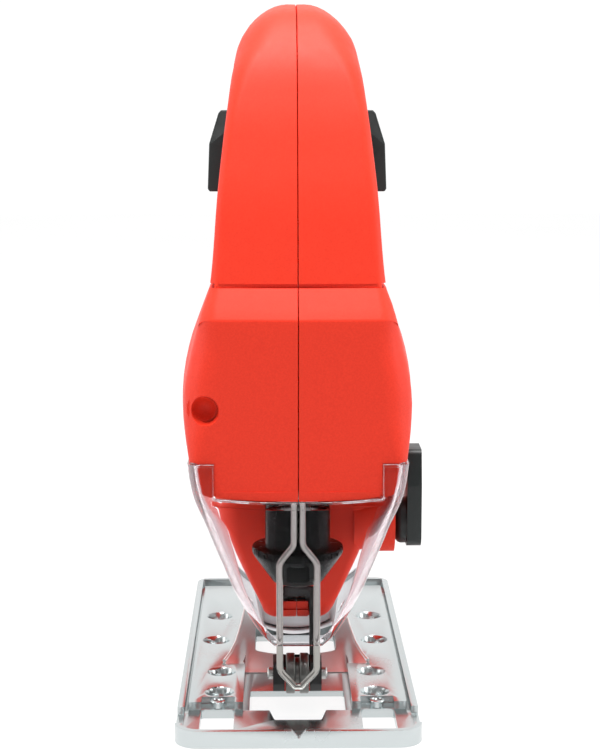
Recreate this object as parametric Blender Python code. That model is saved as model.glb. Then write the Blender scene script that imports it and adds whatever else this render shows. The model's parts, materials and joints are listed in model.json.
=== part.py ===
"""D-handle jigsaw power tool, modelled as separate physical pieces.

All lengths are written in millimetres and scaled to metres when a mesh is made.
The tool faces -Y, its left side is +X and up is +Z.  The origin lies on the
underside of the sole, on the centre plane, in the middle of the bar behind the
blade opening.
"""
import math

import bmesh
import bpy
from mathutils import Vector
from mathutils.geometry import delaunay_2d_cdt

MM = 0.001
ASSEMBLY_NAME = "jigsaw"

# driving dimensions, millimetres
GAP = 0.3                      # clearance between touching pieces
SEAM = 0.15                    # half of the gap between the two housing halves
WALL = 2.5                     # housing wall

SOLE_HALF_WIDTH = 35.0
SOLE_FRONT = -58.0
SOLE_REAR = 102.0
SOLE_FLOOR = 1.8               # sheet thickness of the sole floor
SOLE_RIM = 5.0                 # height of the turned-up rim
SOLE_RIM_THICK = 2.0
STRIP_IN = 16.0                # raised side strips
STRIP_OUT = 32.0
STRIP_FRONT = -33.5
STRIP_REAR = 91.0
STRIP_HOLE_R = 3.6
STRIP_HOLES = ((23.2, -24.4), (23.1, -5.9), (25.8, 26.2), (25.5, 53.3))
SLOT_FRONT = -50.8             # slot for the parallel fence bar
SLOT_REAR = -37.6

TILT_Z = 25.4                  # height of the sole's tilting axis
TILT_R = 21.7                  # radius of the bracket's rounded foot
SEAT_R = 22.1                  # radius of the sole's curved seat
SEAT_THICK = 1.2

PLUNGER_Y = -32.0
PLUNGER_R = 4.0
STROKE = 16.0
CRANK_R = STROKE / 2.0

MOTOR_Z = 84.0
GEAR_MODULE = 0.965
PINION_TEETH = 8
GEAR_TEETH = 32
GEAR_Z = MOTOR_Z + GEAR_MODULE * (PINION_TEETH + GEAR_TEETH) / 2.0

ROLLER_Y = -24.0
ROLLER_Z = 10.5
ROLLER_R = 6.0
FORK_PIVOT = (-10.4, 31.0)     # y, z of the pendulum lever's pivot

LEVER_PIVOT = (-10.0, 54.0)    # y, z of the orbital selector's pivot
TRIGGER_PIVOT = (18.0, 179.0)  # y, z of the trigger's pivot
BUTTON_Y = (-25.0, -5.0)
BUTTON_Z = (153.5, 176.5)
GUARD_Y = -46.7
GLAND_Z = 105.0

# side outline of the housing: y, z, corner radius
OUTLINE = (
    (-51.0, 70.0, 4.5), (-51.2, 119.5, 5.0), (-45.6, 128.2, 1.5), (-41.0, 152.0, 60.0),
    (-34.0, 174.0, 60.0), (-26.5, 192.0, 40.0), (-14.0, 204.5, 20.0), (5.0, 208.0, 60.0),
    (60.0, 207.0, 80.0), (104.0, 198.0, 30.0), (127.0, 176.0, 30.0), (134.0, 142.0, 22.0),
    (148.0, 126.0, 14.0), (150.0, 92.0, 60.0), (144.0, 57.0, 14.0), (110.0, 54.0, 60.0),
    (77.0, 54.0, 6.0), (73.0, 43.0, 6.0), (40.0, 43.0, 5.0), (36.0, 24.0, 5.5),
    (-12.0, 24.0, 5.5), (-17.5, 30.0, 6.0), (-17.5, 70.0, 2.0),
)
# finger opening of the D-handle: y, z, corner radius
OPENING = (
    (-6.5, 131.5, 9.0), (0.5, 158.0, 30.0), (12.0, 172.0, 13.0), (88.0, 170.5, 24.0),
    (103.0, 160.0, 16.0), (107.0, 131.5, 10.0),
)
# half width of the housing at each height
WIDTHS = (
    (22.0, 8.5), (24.0, 9.3), (30.0, 12.0), (36.0, 15.2), (43.0, 18.6), (50.0, 20.7),
    (60.0, 22.8), (65.0, 25.5), (70.0, 29.5),
    (75.0, 31.8), (80.0, 32.8), (90.0, 33.6), (100.0, 33.2), (110.0, 31.2), (118.0, 28.4),
    (123.0, 26.5), (128.0, 24.5), (155.0, 22.2), (176.0, 19.8), (193.0, 17.4), (201.0, 14.7),
    (205.0, 13.2), (208.5, 12.2),
)
FRONT_EDGE = (
    (40.0, 3.0), (70.0, 2.8), (80.0, 3.5), (92.0, 8.5), (112.0, 8.5), (121.0, 4.5),
    (128.0, 3.2), (190.0, 3.2), (200.0, 6.0), (208.5, 8.0),
)
BODY_EDGE = ((24.0, 3.0), (36.0, 3.5), (43.0, 4.5), (54.0, 5.5), (66.0, 9.0), (90.0, 10.0), (208.5, 10.0))
OPENING_EDGE = 7.5

# half width of the clear shield at each height
SHIELD = (
    (27.5, 6.9), (31.0, 10.6), (36.0, 14.6), (42.0, 18.2), (49.0, 21.3), (56.0, 24.2),
    (63.0, 26.8), (69.0, 29.0), (74.0, 30.2), (79.2, 30.9),
)

# clamshell screws: y, z (inside the solid material of the housing)
SCREWS = ((-17.0, 186.0), (78.0, 189.0), (120.0, 152.0), (137.0, 70.0), (22.0, 51.0), (-0.5, 123.8))

MESH_STEP = 14.0               # spacing of the housing's surface points
ARC_STEP = 22.5                # degrees per step on rounded corners
RING_STEPS = 3                 # steps across the housing's rounded edge
SEGMENTS = 20                  # sides of a round piece


def clear_scene():
    for obj in list(bpy.data.objects):
        bpy.data.objects.remove(obj, do_unlink=True)


def make_collection(name):
    coll = bpy.data.collections.new(name)
    bpy.context.scene.collection.children.link(coll)
    return coll


def material(name, colour, metallic=0.0, roughness=0.45, transmission=0.0):
    mat = bpy.data.materials.new(name)
    mat.use_nodes = True
    shader = mat.node_tree.nodes["Principled BSDF"]
    shader.inputs["Base Color"].default_value = (colour[0], colour[1], colour[2], 1.0)
    shader.inputs["Metallic"].default_value = metallic
    shader.inputs["Roughness"].default_value = roughness
    shader.inputs["Transmission Weight"].default_value = transmission
    return mat


def lerp_table(table, value):
    if value <= table[0][0]:
        return table[0][1]
    for (a, fa), (b, fb) in zip(table, table[1:]):
        if value <= b:
            t = (value - a) / (b - a)
            return fa + (fb - fa) * t
    return table[-1][1]


def smooth_table(table, value):
    """Catmull-Rom interpolation of a table of (position, value)."""
    count = len(table)
    if value <= table[0][0]:
        return table[0][1]
    if value >= table[-1][0]:
        return table[-1][1]
    for i in range(count - 1):
        a, fa = table[i]
        b, fb = table[i + 1]
        if value <= b:
            break
    p, fp = table[max(i - 1, 0)]
    n, fn = table[min(i + 2, count - 1)]
    slope_a = (fb - fp) / max(b - p, 1e-6)
    slope_b = (fn - fa) / max(n - a, 1e-6)
    span = b - a
    t = (value - a) / span
    h00 = 2 * t ** 3 - 3 * t ** 2 + 1
    h10 = t ** 3 - 2 * t ** 2 + t
    h01 = -2 * t ** 3 + 3 * t ** 2
    h11 = t ** 3 - t ** 2
    return h00 * fa + h10 * span * slope_a + h01 * fb + h11 * span * slope_b


def fillet(corners, step=ARC_STEP):
    """Round the corners of a closed polygon of (u, v, radius)."""
    points = []
    count = len(corners)
    for i in range(count):
        prev = Vector(corners[i - 1][:2])
        here = Vector(corners[i][:2])
        after = Vector(corners[(i + 1) % count][:2])
        radius = corners[i][2]
        u = (prev - here).normalized()
        v = (after - here).normalized()
        angle = u.angle(v)
        if radius <= 0.0 or angle > math.pi - 0.02:
            points.append(here.copy())
            continue
        reach = radius / math.tan(angle / 2.0)
        limit = 0.49 * min((prev - here).length, (after - here).length)
        if reach > limit:
            reach = limit
            radius = reach * math.tan(angle / 2.0)
        centre = here + (u + v).normalized() * (radius / math.sin(angle / 2.0))
        start = here + u * reach
        end = here + v * reach
        a0 = math.atan2(start.y - centre.y, start.x - centre.x)
        a1 = math.atan2(end.y - centre.y, end.x - centre.x)
        turn = (a1 - a0 + math.pi) % (2 * math.pi) - math.pi
        parts = max(1, int(math.ceil(abs(math.degrees(turn)) / step)))
        for k in range(parts + 1):
            a = a0 + turn * k / parts
            points.append(centre + Vector((math.cos(a), math.sin(a))) * radius)
    clean = []
    for p in points:
        if not clean or (p - clean[-1]).length > 1e-4:
            clean.append(p)
    if (clean[0] - clean[-1]).length < 1e-4:
        clean.pop()
    return clean


def resample(points, step):
    """Split the long edges of a closed polygon."""
    out = []
    for i, a in enumerate(points):
        b = points[(i + 1) % len(points)]
        parts = max(1, int(math.ceil((b - a).length / step)))
        for k in range(parts):
            out.append(a.lerp(b, k / parts))
    return out


def signed_area(points):
    total = 0.0
    for i, a in enumerate(points):
        b = points[(i + 1) % len(points)]
        total += a.x * b.y - b.x * a.y
    return total / 2.0


def inward_normals(points):
    """Unit normals pointing to the left of travel."""
    out = []
    for i, p in enumerate(points):
        a = (p - points[i - 1]).normalized()
        b = (points[(i + 1) % len(points)] - p).normalized()
        t = (a + b).normalized()
        out.append(Vector((-t.y, t.x)))
    return out


def inside(points, p):
    hit = False
    for i, a in enumerate(points):
        b = points[(i + 1) % len(points)]
        if (a.y > p.y) != (b.y > p.y):
            if p.x < (b.x - a.x) * (p.y - a.y) / (b.y - a.y) + a.x:
                hit = not hit
    return hit


def mesh_object(name, verts, faces, mat, coll, pivot=(0.0, 0.0, 0.0)):
    """Make an object from millimetre coordinates with its origin at the pivot."""
    mesh = bpy.data.meshes.new(name)
    moved = [((v[0] - pivot[0]) * MM, (v[1] - pivot[1]) * MM, (v[2] - pivot[2]) * MM) for v in verts]
    mesh.from_pydata(moved, [], faces)
    bm = bmesh.new()
    bm.from_mesh(mesh)
    bmesh.ops.recalc_face_normals(bm, faces=bm.faces)
    bm.to_mesh(mesh)
    bm.free()
    mesh.materials.append(mat)
    obj = bpy.data.objects.new(name, mesh)
    obj.location = (pivot[0] * MM, pivot[1] * MM, pivot[2] * MM)
    coll.objects.link(obj)
    return obj


def place(axis, u, v, w):
    """Point from two in-plane coordinates and one along the axis."""
    if axis == "X":
        return (w, u, v)
    if axis == "Y":
        return (u, w, v)
    return (u, v, w)


def prism(name, outline, axis, low, high, mat, coll, pivot=(0.0, 0.0, 0.0)):
    count = len(outline)
    verts = [place(axis, p[0], p[1], low) for p in outline]
    verts += [place(axis, p[0], p[1], high) for p in outline]
    faces = [list(range(count))[::-1], list(range(count, 2 * count))]
    for i in range(count):
        j = (i + 1) % count
        faces.append([i, j, j + count, i + count])
    return mesh_object(name, verts, faces, mat, coll, pivot)


def box(name, x, y, z, mat, coll, pivot=(0.0, 0.0, 0.0)):
    outline = ((x[0], y[0]), (x[1], y[0]), (x[1], y[1]), (x[0], y[1]))
    return prism(name, outline, "Z", z[0], z[1], mat, coll, pivot)


def circle(cx, cy, radius, segments=SEGMENTS, phase=0.0):
    out = []
    for k in range(segments):
        a = 2 * math.pi * k / segments + phase
        out.append(Vector((cx + radius * math.cos(a), cy + radius * math.sin(a))))
    return out


def lathe(name, profile, axis, centre, mat, coll, pivot=(0.0, 0.0, 0.0), segments=SEGMENTS, closed=False):
    """Revolve (radius, height) points about an axis through the centre (u, v)."""
    verts = []
    rows = []
    for radius, height in profile:
        if radius < 1e-6:
            rows.append([len(verts)])
            verts.append(place(axis, centre[0], centre[1], height))
            continue
        row = []
        for p in circle(centre[0], centre[1], radius, segments):
            row.append(len(verts))
            verts.append(place(axis, p.x, p.y, height))
        rows.append(row)
    faces = []
    pairs = list(zip(rows, rows[1:]))
    if closed:
        pairs.append((rows[-1], rows[0]))
    for low, high in pairs:
        for k in range(segments):
            j = (k + 1) % segments
            if len(low) == 1:
                faces.append([low[0], high[j], high[k]])
            elif len(high) == 1:
                faces.append([low[k], low[j], high[0]])
            else:
                faces.append([low[k], low[j], high[j], high[k]])
    if not closed and len(rows[0]) > 1:
        faces.append(rows[0][::-1])
    if not closed and len(rows[-1]) > 1:
        faces.append(rows[-1])
    return mesh_object(name, verts, faces, mat, coll, pivot)


def rod(name, path, radius, mat, coll, segments=10):
    """Round wire swept along a list of 3-D points."""
    pts = [Vector(p) for p in path]
    verts = []
    faces = []
    side = None
    for i, p in enumerate(pts):
        back = (p - pts[i - 1]).normalized() if i else None
        ahead = (pts[i + 1] - p).normalized() if i < len(pts) - 1 else None
        if back is None:
            tangent = ahead
        elif ahead is None:
            tangent = back
        else:
            tangent = (back + ahead).normalized()
        if side is None:
            side = tangent.orthogonal().normalized()
        side = (side - tangent * side.dot(tangent)).normalized()
        up = tangent.cross(side)
        stretch = 1.0
        if back is not None and ahead is not None:
            stretch = 1.0 / max(0.5, math.cos(back.angle(ahead) / 2.0))
        bend = Vector((0.0, 0.0, 0.0))
        if back is not None and ahead is not None and (ahead - back).length > 1e-6:
            bend = (ahead - back).normalized()
        for k in range(segments):
            a = 2 * math.pi * k / segments
            offset = side * math.cos(a) * radius + up * math.sin(a) * radius
            offset += bend * offset.dot(bend) * (stretch - 1.0)
            verts.append(p + offset)
    for i in range(len(pts) - 1):
        for k in range(segments):
            j = (k + 1) % segments
            a = i * segments
            b = a + segments
            faces.append([a + k, a + j, b + j, b + k])
    faces.append(list(range(segments))[::-1])
    last = (len(pts) - 1) * segments
    faces.append(list(range(last, last + segments)))
    return mesh_object(name, verts, faces, mat, coll)


def boolean(obj, tool, operation, cutters):
    for coll in list(tool.users_collection):
        coll.objects.unlink(tool)
    cutters.objects.link(tool)
    tool.hide_render = True
    tool.display_type = "WIRE"
    mod = obj.modifiers.new(operation.lower() + "_" + tool.name, "BOOLEAN")
    mod.operation = operation
    mod.solver = "EXACT"
    mod.object = tool
    return obj


def half_width(z):
    return smooth_table(WIDTHS, z)


def edge_radius(y, z):
    t = min(1.0, max(0.0, (-20.0 - y) / 15.0))
    t = t * t * (3 - 2 * t)
    return lerp_table(BODY_EDGE, z) * (1 - t) + lerp_table(FRONT_EDGE, z) * t


def inner_half_width(y, z):
    width = half_width(z) - WALL
    if z < 86.0:
        t = min(1.0, max(0.0, (86.0 - z) / 5.0))
        u = min(1.0, max(0.0, (4.0 - y) / 14.0))
        width = width * (1 - t * u) + min(width, 25.2) * t * u
        v = min(1.0, max(0.0, (-44.0 - y) / 2.5))
        width = width * (1 - t * v) + min(width, 20.9) * t * v
    return width


def shell_surface(points, is_opening, inner, ring_steps):
    """Rows of points from the seam plane over the rounded edge."""
    normals = inward_normals(points)
    rows = []
    for k in range(-1, ring_steps + 1):
        row = []
        for p, n in zip(points, normals):
            radius = OPENING_EDGE if is_opening else edge_radius(p.x, p.y)
            offset = 0.0
            if inner:
                radius = max(radius - WALL, 1.0)
                offset = WALL
            angle = math.pi / 2 * max(k, 0) / ring_steps
            d = offset + radius * (1 - math.cos(angle))
            q = p + n * d
            width = inner_half_width(q.x, q.y) if inner else half_width(q.y)
            x = SEAM
            if k >= 0:
                x = max(width - radius + radius * math.sin(angle), SEAM + 0.4)
            row.append((x, q.x, q.y))
        rows.append(row)
    return rows


def bow(x, y):
    """The housing's front is gently convex from side to side."""
    t = min(1.0, max(0.0, (-38.0 - y) / 8.0))
    return y + 1.3 * t * t * (3 - 2 * t) * min(1.0, (x / 30.0) ** 2)


def shell_half(name, side, mat, coll, step=MESH_STEP, arc=ARC_STEP, ring_steps=RING_STEPS):
    """One hollow clamshell half, open at the seam plane."""
    outer = resample(fillet(OUTLINE, arc), step)
    if signed_area(outer) < 0:
        outer.reverse()
    hole = resample(fillet(OPENING, arc), step)
    if signed_area(hole) > 0:
        hole.reverse()
    verts = []
    faces = []
    ends = {}
    seam_rows = {}
    for inner in (False, True):
        for tag, points in (("outer", outer), ("hole", hole)):
            rows = shell_surface(points, tag == "hole", inner, ring_steps)
            index_rows = []
            for row in rows:
                index_rows.append(list(range(len(verts), len(verts) + len(row))))
                verts.extend(row)
            for low, high in zip(index_rows, index_rows[1:]):
                for k in range(len(low)):
                    j = (k + 1) % len(low)
                    faces.append([low[k], low[j], high[j], high[k]])
            ends[(inner, tag)] = index_rows[-1]
            seam_rows[(inner, tag)] = index_rows[0]
    for tag in ("outer", "hole"):
        low = seam_rows[(False, tag)]
        high = seam_rows[(True, tag)]
        for k in range(len(low)):
            j = (k + 1) % len(low)
            faces.append([low[k], low[j], high[j], high[k]])
    for inner in (False, True):
        fill_flank(verts, faces, ends[(inner, "outer")], ends[(inner, "hole")], inner, step)
    placed = [(side * v[0], bow(v[0], v[1]), v[2]) for v in verts]
    return mesh_object(name, placed, faces, mat, coll)


def fill_flank(verts, faces, outer_ids, hole_ids, inner, step):
    """Fill the broad side face between two rings with evenly spread points."""
    outer = [Vector(verts[i][1:]) for i in outer_ids]
    hole = [Vector(verts[i][1:]) for i in hole_ids]
    ids = list(outer_ids) + list(hole_ids)
    points = outer + hole
    edges = [(k, (k + 1) % len(outer)) for k in range(len(outer))]
    base = len(outer)
    edges += [(base + k, base + (k + 1) % len(hole)) for k in range(len(hole))]
    rings = len(points)
    zs = [20.0 + step * k for k in range(int(190 / step) + 1)]
    ys = [-52.0 + step * k for k in range(int(205 / step) + 1)]
    for z in zs:
        for y in ys:
            p = Vector((y, z))
            if not inside(outer, p) or inside(hole, p):
                continue
            if min((p - q).length for q in points[:rings]) < step * 0.55:
                continue
            points.append(p)
            ids.append(len(verts))
            width = inner_half_width(y, z) if inner else half_width(z)
            verts.append((width, y, z))
    result = delaunay_2d_cdt(points, edges, [], 0, 1e-5)
    coords = result[0]
    origin = result[3]
    for tri in result[2]:
        mid = (coords[tri[0]] + coords[tri[1]] + coords[tri[2]]) / 3.0
        if not inside(outer, mid) or inside(hole, mid):
            continue
        faces.append([ids[origin[k][0]] for k in tri])


def shield_section(z, inset, outer_grow, back):
    """Closed U-shaped section of the shield at one height."""
    half = smooth_table(SHIELD, z)
    front = -51.3
    if back is None:
        back = lerp_table(((31.0, -48.7), (40.0, -42.0), (50.0, -29.0), (60.0, -20.6)), z)
    corner = lerp_table(((30.0, 0.8), (40.0, 7.0), (58.0, 8.0), (68.0, 3.6)), z)
    corner = min(corner, half * 0.8, max(back - front - 0.6, 0.5))
    points = []
    for offset in (-outer_grow, inset):
        path = []
        w = half - offset
        f = front + offset
        r = max(corner - offset, 0.4)
        path.append((-w, back))
        for k in range(5):
            a = math.pi + math.pi / 2 * k / 4
            path.append((-w + r + r * math.cos(a), f + r + r * math.sin(a)))
        for k in range(5):
            a = 1.5 * math.pi + math.pi / 2 * k / 4
            path.append((w - r + r * math.cos(a), f + r + r * math.sin(a)))
        path.append((w, back))
        if offset == inset:
            path.reverse()
        points.extend(path)
    return points


def shield_loft(name, heights, inset, outer_grow, back, mat, coll):
    verts = []
    rows = []
    for z in heights:
        section = shield_section(z, inset, outer_grow, back)
        rows.append(list(range(len(verts), len(verts) + len(section))))
        verts.extend((p[0], p[1], z) for p in section)
    faces = []
    for low, high in zip(rows, rows[1:]):
        for k in range(len(low)):
            j = (k + 1) % len(low)
            faces.append([low[k], low[j], high[j], high[k]])
    half = len(rows[0]) // 2
    for row, flip in ((rows[0], True), (rows[-1], False)):
        for k in range(half - 1):
            quad = [row[k], row[k + 1], row[-2 - k], row[-1 - k]]
            faces.append(quad[::-1] if flip else quad)
    return mesh_object(name, verts, faces, mat, coll)


def gear_outline(cx, cy, teeth, module, phase, thin):
    """Straight-sided spur gear outline."""
    pitch = module * teeth / 2.0
    outer = pitch + module * 0.85
    root = pitch - module * 1.2
    half_pitch = math.pi / (2 * teeth)
    play = thin / pitch / 2.0
    out = []
    for k in range(teeth):
        mid = phase + 2 * math.pi * k / teeth
        for radius, half in ((root, half_pitch * 1.35 - play), (outer, half_pitch * 0.5 - play * 0.6)):
            out.append((radius, mid - half))
        for radius, half in ((outer, half_pitch * 0.5 - play * 0.6), (root, half_pitch * 1.35 - play)):
            out.append((radius, mid + half))
    return [Vector((cx + r * math.cos(a), cy + r * math.sin(a))) for r, a in out]


def build_housing(m, parts, cutters):
    red = m["housing_red"]
    halves = {}
    for name, side in (("left_housing", 1.0), ("right_housing", -1.0)):
        halves[name] = shell_half(name, side, red, parts)
    for name, side in (("left_housing", 1.0), ("right_housing", -1.0)):
        obj = halves[name]
        for k, (y, z) in enumerate(SCREWS):
            reach = half_width(z) - 1.2
            radius = 4.6
            low, high = sorted((side * SEAM, side * reach))
            boss = prism("boss_%s_%d" % (name, k), circle(y, z, radius, 12), "X", low, high, red, parts)
            boolean(obj, boss, "UNION", cutters)
        for k, (y, z) in enumerate(SCREWS):
            if side > 0:
                bore = prism("bore_l%d" % k, circle(y, z, 1.9, 10), "X", -1.0, 9.0, red, parts)
                boolean(obj, bore, "DIFFERENCE", cutters)
            else:
                bore = lathe("bore_r%d" % k, ((1.9, 1.0), (1.9, -11.0), (3.8, -11.0), (3.8, -50.0)), "X",
                             (y, z), red, parts, segments=12)
                boolean(obj, bore, "DIFFERENCE", cutters)
    left = halves["left_housing"]
    right = halves["right_housing"]
    boss = prism("selector_boss", circle(LEVER_PIVOT[0], LEVER_PIVOT[1], 9.5, 24), "X", 17.0, 29.3, red, parts)
    boolean(left, boss, "UNION", cutters)
    bore = prism("selector_bore", circle(LEVER_PIVOT[0], LEVER_PIVOT[1], 3.9, 14), "X", 10.0, 35.0, red, parts)
    boolean(left, bore, "DIFFERENCE", cutters)
    pocket = prism("front_boss", circle(-25.6, 94.3, 5.4, 14), "Y", -47.6, -34.0, red, parts)
    boolean(right, pocket, "UNION", cutters)
    recess = prism("front_recess", circle(-26.1, 94.3, 3.8, 16), "Y", -60.0, -41.0, red, parts)
    boolean(right, recess, "DIFFERENCE", cutters)
    ears = shield_loft("ear_pocket", (58.0, 68.0, 74.0, 79.6), 2.6, 14.0, -20.2, red, parts)
    tongue = box("tongue_keep", (-23.3, 23.3), (-90.0, -40.0), (50.0, 90.0), red, parts)
    boolean(ears, tongue, "DIFFERENCE", cutters)
    common = [
        ears,
        prism("plunger_hole", circle(0.0, PLUNGER_Y, 7.6, 16), "Z", 66.0, 74.0, red, parts),
        box("guard_hole", (-2.6, 2.6), (-48.0, -45.3), (66.0, 77.0), red, parts),
        box("fork_window", (-4.2, 4.2), (-20.0, -14.0), (27.4, 35.6), red, parts),
        box("fork_slot", (3.4, 5.7), (-20.0, -9.0), (20.0, 35.6), red, parts),
        box("trigger_slot", (-7.8, 7.8), (14.6, 43.6), (160.0, 177.5), red, parts),
        prism("gland_hole", circle(0.0, GLAND_Z, 6.4, 16), "Y", 140.0, 160.0, red, parts),
        box("groove_front", (-40.0, 40.0), (-60.0, -44.2), (127.7, 129.1), red, parts),
    ]
    for tool in common:
        boolean(left, tool, "DIFFERENCE", cutters)
        boolean(right, tool, "DIFFERENCE", cutters)
    for name, side in (("left_housing", 1.0), ("right_housing", -1.0)):
        obj = halves[name]
        low, high = sorted((side * 23.1, side * 40.0))
        groove = box("groove_" + name, (low, high), (-60.0, -7.0), (127.7, 129.1), red, parts)
        boolean(obj, groove, "DIFFERENCE", cutters)
        low, high = sorted((side * 9.0, side * 40.0))
        window = box("button_window_" + name, (low, high), (BUTTON_Y[0] - 0.4, BUTTON_Y[1] + 0.4),
                     (BUTTON_Z[0] - 0.4, BUTTON_Z[1] + 0.4), red, parts)
        boolean(obj, window, "DIFFERENCE", cutters)
        low, high = sorted((side * 26.0, side * 40.0))
        for k in range(6):
            y = 102.0 + 5.6 * k
            slot = box("vent_%s_%d" % (name, k), (low, high), (y, y + 2.6), (76.0, 104.0), red, parts)
            boolean(obj, slot, "DIFFERENCE", cutters)


def build_screws(m, parts):
    for k, (y, z) in enumerate(SCREWS):
        profile = ((1.6, 8.0), (1.6, -11.3), (3.4, -11.3), (3.4, -13.0), (2.4, -13.8))
        lathe("housing_screw_%d" % (k + 1), profile, "X", (y, z), m["steel"], parts, segments=12)


def build_gear_case(m, parts, cutters):
    alu = m["cast_aluminium"]
    plate = ((-21.0, 73.0), (21.0, 73.0), (24.0, 90.0), (24.0, 108.0), (18.0, 126.0),
             (-18.0, 126.0), (-24.0, 108.0), (-24.0, 90.0))
    case = prism("gear_case", plate, "Y", -11.5, -6.0, alu, parts)
    adds = [
        box("case_lower_block", (-19.5, 19.5), (-39.5, -25.0), (73.0, 81.0), alu, parts),
        box("case_cheek_left", (15.5, 19.5), (-26.0, -9.0), (73.0, 90.0), alu, parts),
        box("case_cheek_right", (-19.5, -15.5), (-26.0, -9.0), (73.0, 90.0), alu, parts),
        box("case_upper_block", (-9.0, 9.0), (-39.5, -25.0), (121.8, 132.0), alu, parts),
        box("case_upper_arm", (-9.0, 9.0), (-26.0, -8.0), (121.8, 126.0), alu, parts),
        prism("case_bearing_seat", circle(0.0, MOTOR_Z, 14.5, 24), "Y", -8.0, 7.0, alu, parts),
        box("case_leg_left", (5.5, 7.6), (-12.6, -8.2), (28.4, 80.0), alu, parts),
        box("case_leg_right", (-6.4, -4.3), (-12.6, -8.2), (28.4, 80.0), alu, parts),
    ]
    for tool in adds:
        boolean(case, tool, "UNION", cutters)
    cuts = [
        prism("case_bearing_bore", circle(0.0, MOTOR_Z, 11.3, 24), "Y", -1.5, 8.0, alu, parts),
        prism("case_shaft_bore", circle(0.0, MOTOR_Z, 4.2, 16), "Y", -30.0, 8.0, alu, parts),
        prism("case_axle_bore", circle(0.0, GEAR_Z, 3.3, 14), "Y", -13.0, -5.0, alu, parts),
        prism("case_lower_bore", circle(0.0, PLUNGER_Y, 6.3, 16), "Z", 70.0, 83.0, alu, parts),
        prism("case_upper_bore", circle(0.0, PLUNGER_Y, 6.3, 16), "Z", 120.0, 134.0, alu, parts),
        prism("case_pivot_bore", circle(FORK_PIVOT[0], FORK_PIVOT[1], 1.7, 12), "X", -10.0, 10.0, alu, parts),
    ]
    for tool in cuts:
        boolean(case, tool, "DIFFERENCE", cutters)
    for name, low, high in (("plunger_bush_lower", 73.4, 80.6), ("plunger_bush_upper", 122.2, 131.6)):
        ring = ((PLUNGER_R + 0.3, low), (6.0, low), (6.0, high), (PLUNGER_R + 0.3, high))
        lathe(name, ring, "Z", (0.0, PLUNGER_Y), m["bronze"], parts, closed=True, segments=16)
    ring = ((3.3, -1.1), (11.0, -1.1), (11.0, 6.6), (3.3, 6.6))
    lathe("front_bearing", ring, "Y", (0.0, MOTOR_Z), m["steel"], parts, closed=True)
    lathe("gear_axle", ((3.0, -20.2), (3.0, -6.2)), "Y", (0.0, GEAR_Z), m["steel"], parts, segments=14)


def build_motor(m, parts, cutters):
    steel = m["steel"]
    pivot = (0.0, 0.0, MOTOR_Z)
    ring = ((13.9, 20.0), (22.0, 20.0), (22.0, 62.0), (13.9, 62.0))
    lathe("motor_stator", ring, "Y", (0.0, MOTOR_Z), m["laminations"], parts, closed=True, segments=28)
    ring = ((14.4, 62.3), (20.6, 62.3), (19.4, 68.5), (15.2, 68.5))
    lathe("field_coil", ring, "Y", (0.0, MOTOR_Z), m["copper"], parts, closed=True, segments=28)
    ring = ((3.3, 22.0), (13.3, 22.0), (13.3, 60.0), (3.3, 60.0))
    lathe("rotor_core", ring, "Y", (0.0, MOTOR_Z), m["laminations"], parts, pivot, 24, True)
    ring = ((3.3, 72.5), (9.0, 72.5), (9.0, 86.0), (3.3, 86.0))
    lathe("commutator", ring, "Y", (0.0, MOTOR_Z), m["copper"], parts, pivot, 20, True)
    teeth = 9
    outline = []
    for k in range(teeth):
        a = 2 * math.pi * k / teeth
        for radius, turn in ((7.5, -0.12), (18.0, -0.06), (18.0, 0.06), (7.5, 0.12)):
            outline.append(Vector((radius * math.cos(a + turn), MOTOR_Z + radius * math.sin(a + turn))))
    fan = prism("cooling_fan", outline, "Y", 9.4, 16.4, m["black_plastic"], parts, pivot)
    disc = prism("fan_disc", circle(0.0, MOTOR_Z, 18.6, 24), "Y", 15.2, 17.0, m["black_plastic"], parts)
    boolean(fan, disc, "UNION", cutters)
    bore = prism("fan_bore", circle(0.0, MOTOR_Z, 3.3, 14), "Y", 8.0, 19.0, m["black_plastic"], parts)
    boolean(fan, bore, "DIFFERENCE", cutters)
    shaft = lathe("rotor_shaft", ((3.0, -12.6), (3.0, 98.0)), "Y", (0.0, MOTOR_Z), steel, parts, pivot, 14)
    outline = gear_outline(0.0, MOTOR_Z, PINION_TEETH, GEAR_MODULE, math.pi / 2, 0.34)
    pinion = prism("pinion_teeth", outline, "Y", -21.5, -12.4, steel, parts)
    boolean(shaft, pinion, "UNION", cutters)
    ring = ((3.3, 90.0), (9.0, 90.0), (9.0, 96.6), (3.3, 96.6))
    lathe("rear_bearing", ring, "Y", (0.0, MOTOR_Z), steel, parts, closed=True)
    bracket = prism("end_bracket", circle(0.0, MOTOR_Z, 12.0, 20), "Y", 89.0, 98.6, m["black_plastic"], parts)
    arm = box("end_bracket_arm", (-29.6, 29.6), (91.0, 97.0), (MOTOR_Z - 3.0, MOTOR_Z + 3.0),
              m["black_plastic"], parts)
    boolean(bracket, arm, "UNION", cutters)
    bore = prism("end_bracket_bore", circle(0.0, MOTOR_Z, 9.3, 20), "Y", 88.0, 100.0, m["black_plastic"], parts)
    boolean(bracket, bore, "DIFFERENCE", cutters)
    for name, side in (("left", 1.0), ("right", -1.0)):
        low, high = sorted((side * 11.5, side * 24.0))
        holder = box("brush_holder_" + name, (low, high), (75.0, 83.4), (MOTOR_Z - 4.2, MOTOR_Z + 4.2),
                     m["brass"], parts)
        low, high = sorted((side * 10.0, side * 26.0))
        bore = box("brush_bore_" + name, (low, high), (76.4, 82.0), (MOTOR_Z - 2.8, MOTOR_Z + 2.8),
                   m["brass"], parts)
        boolean(holder, bore, "DIFFERENCE", cutters)
        low, high = sorted((side * 9.4, side * 19.0))
        box("brush_" + name, (low, high), (76.7, 81.7), (MOTOR_Z - 2.5, MOTOR_Z + 2.5), m["carbon"], parts)


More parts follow.
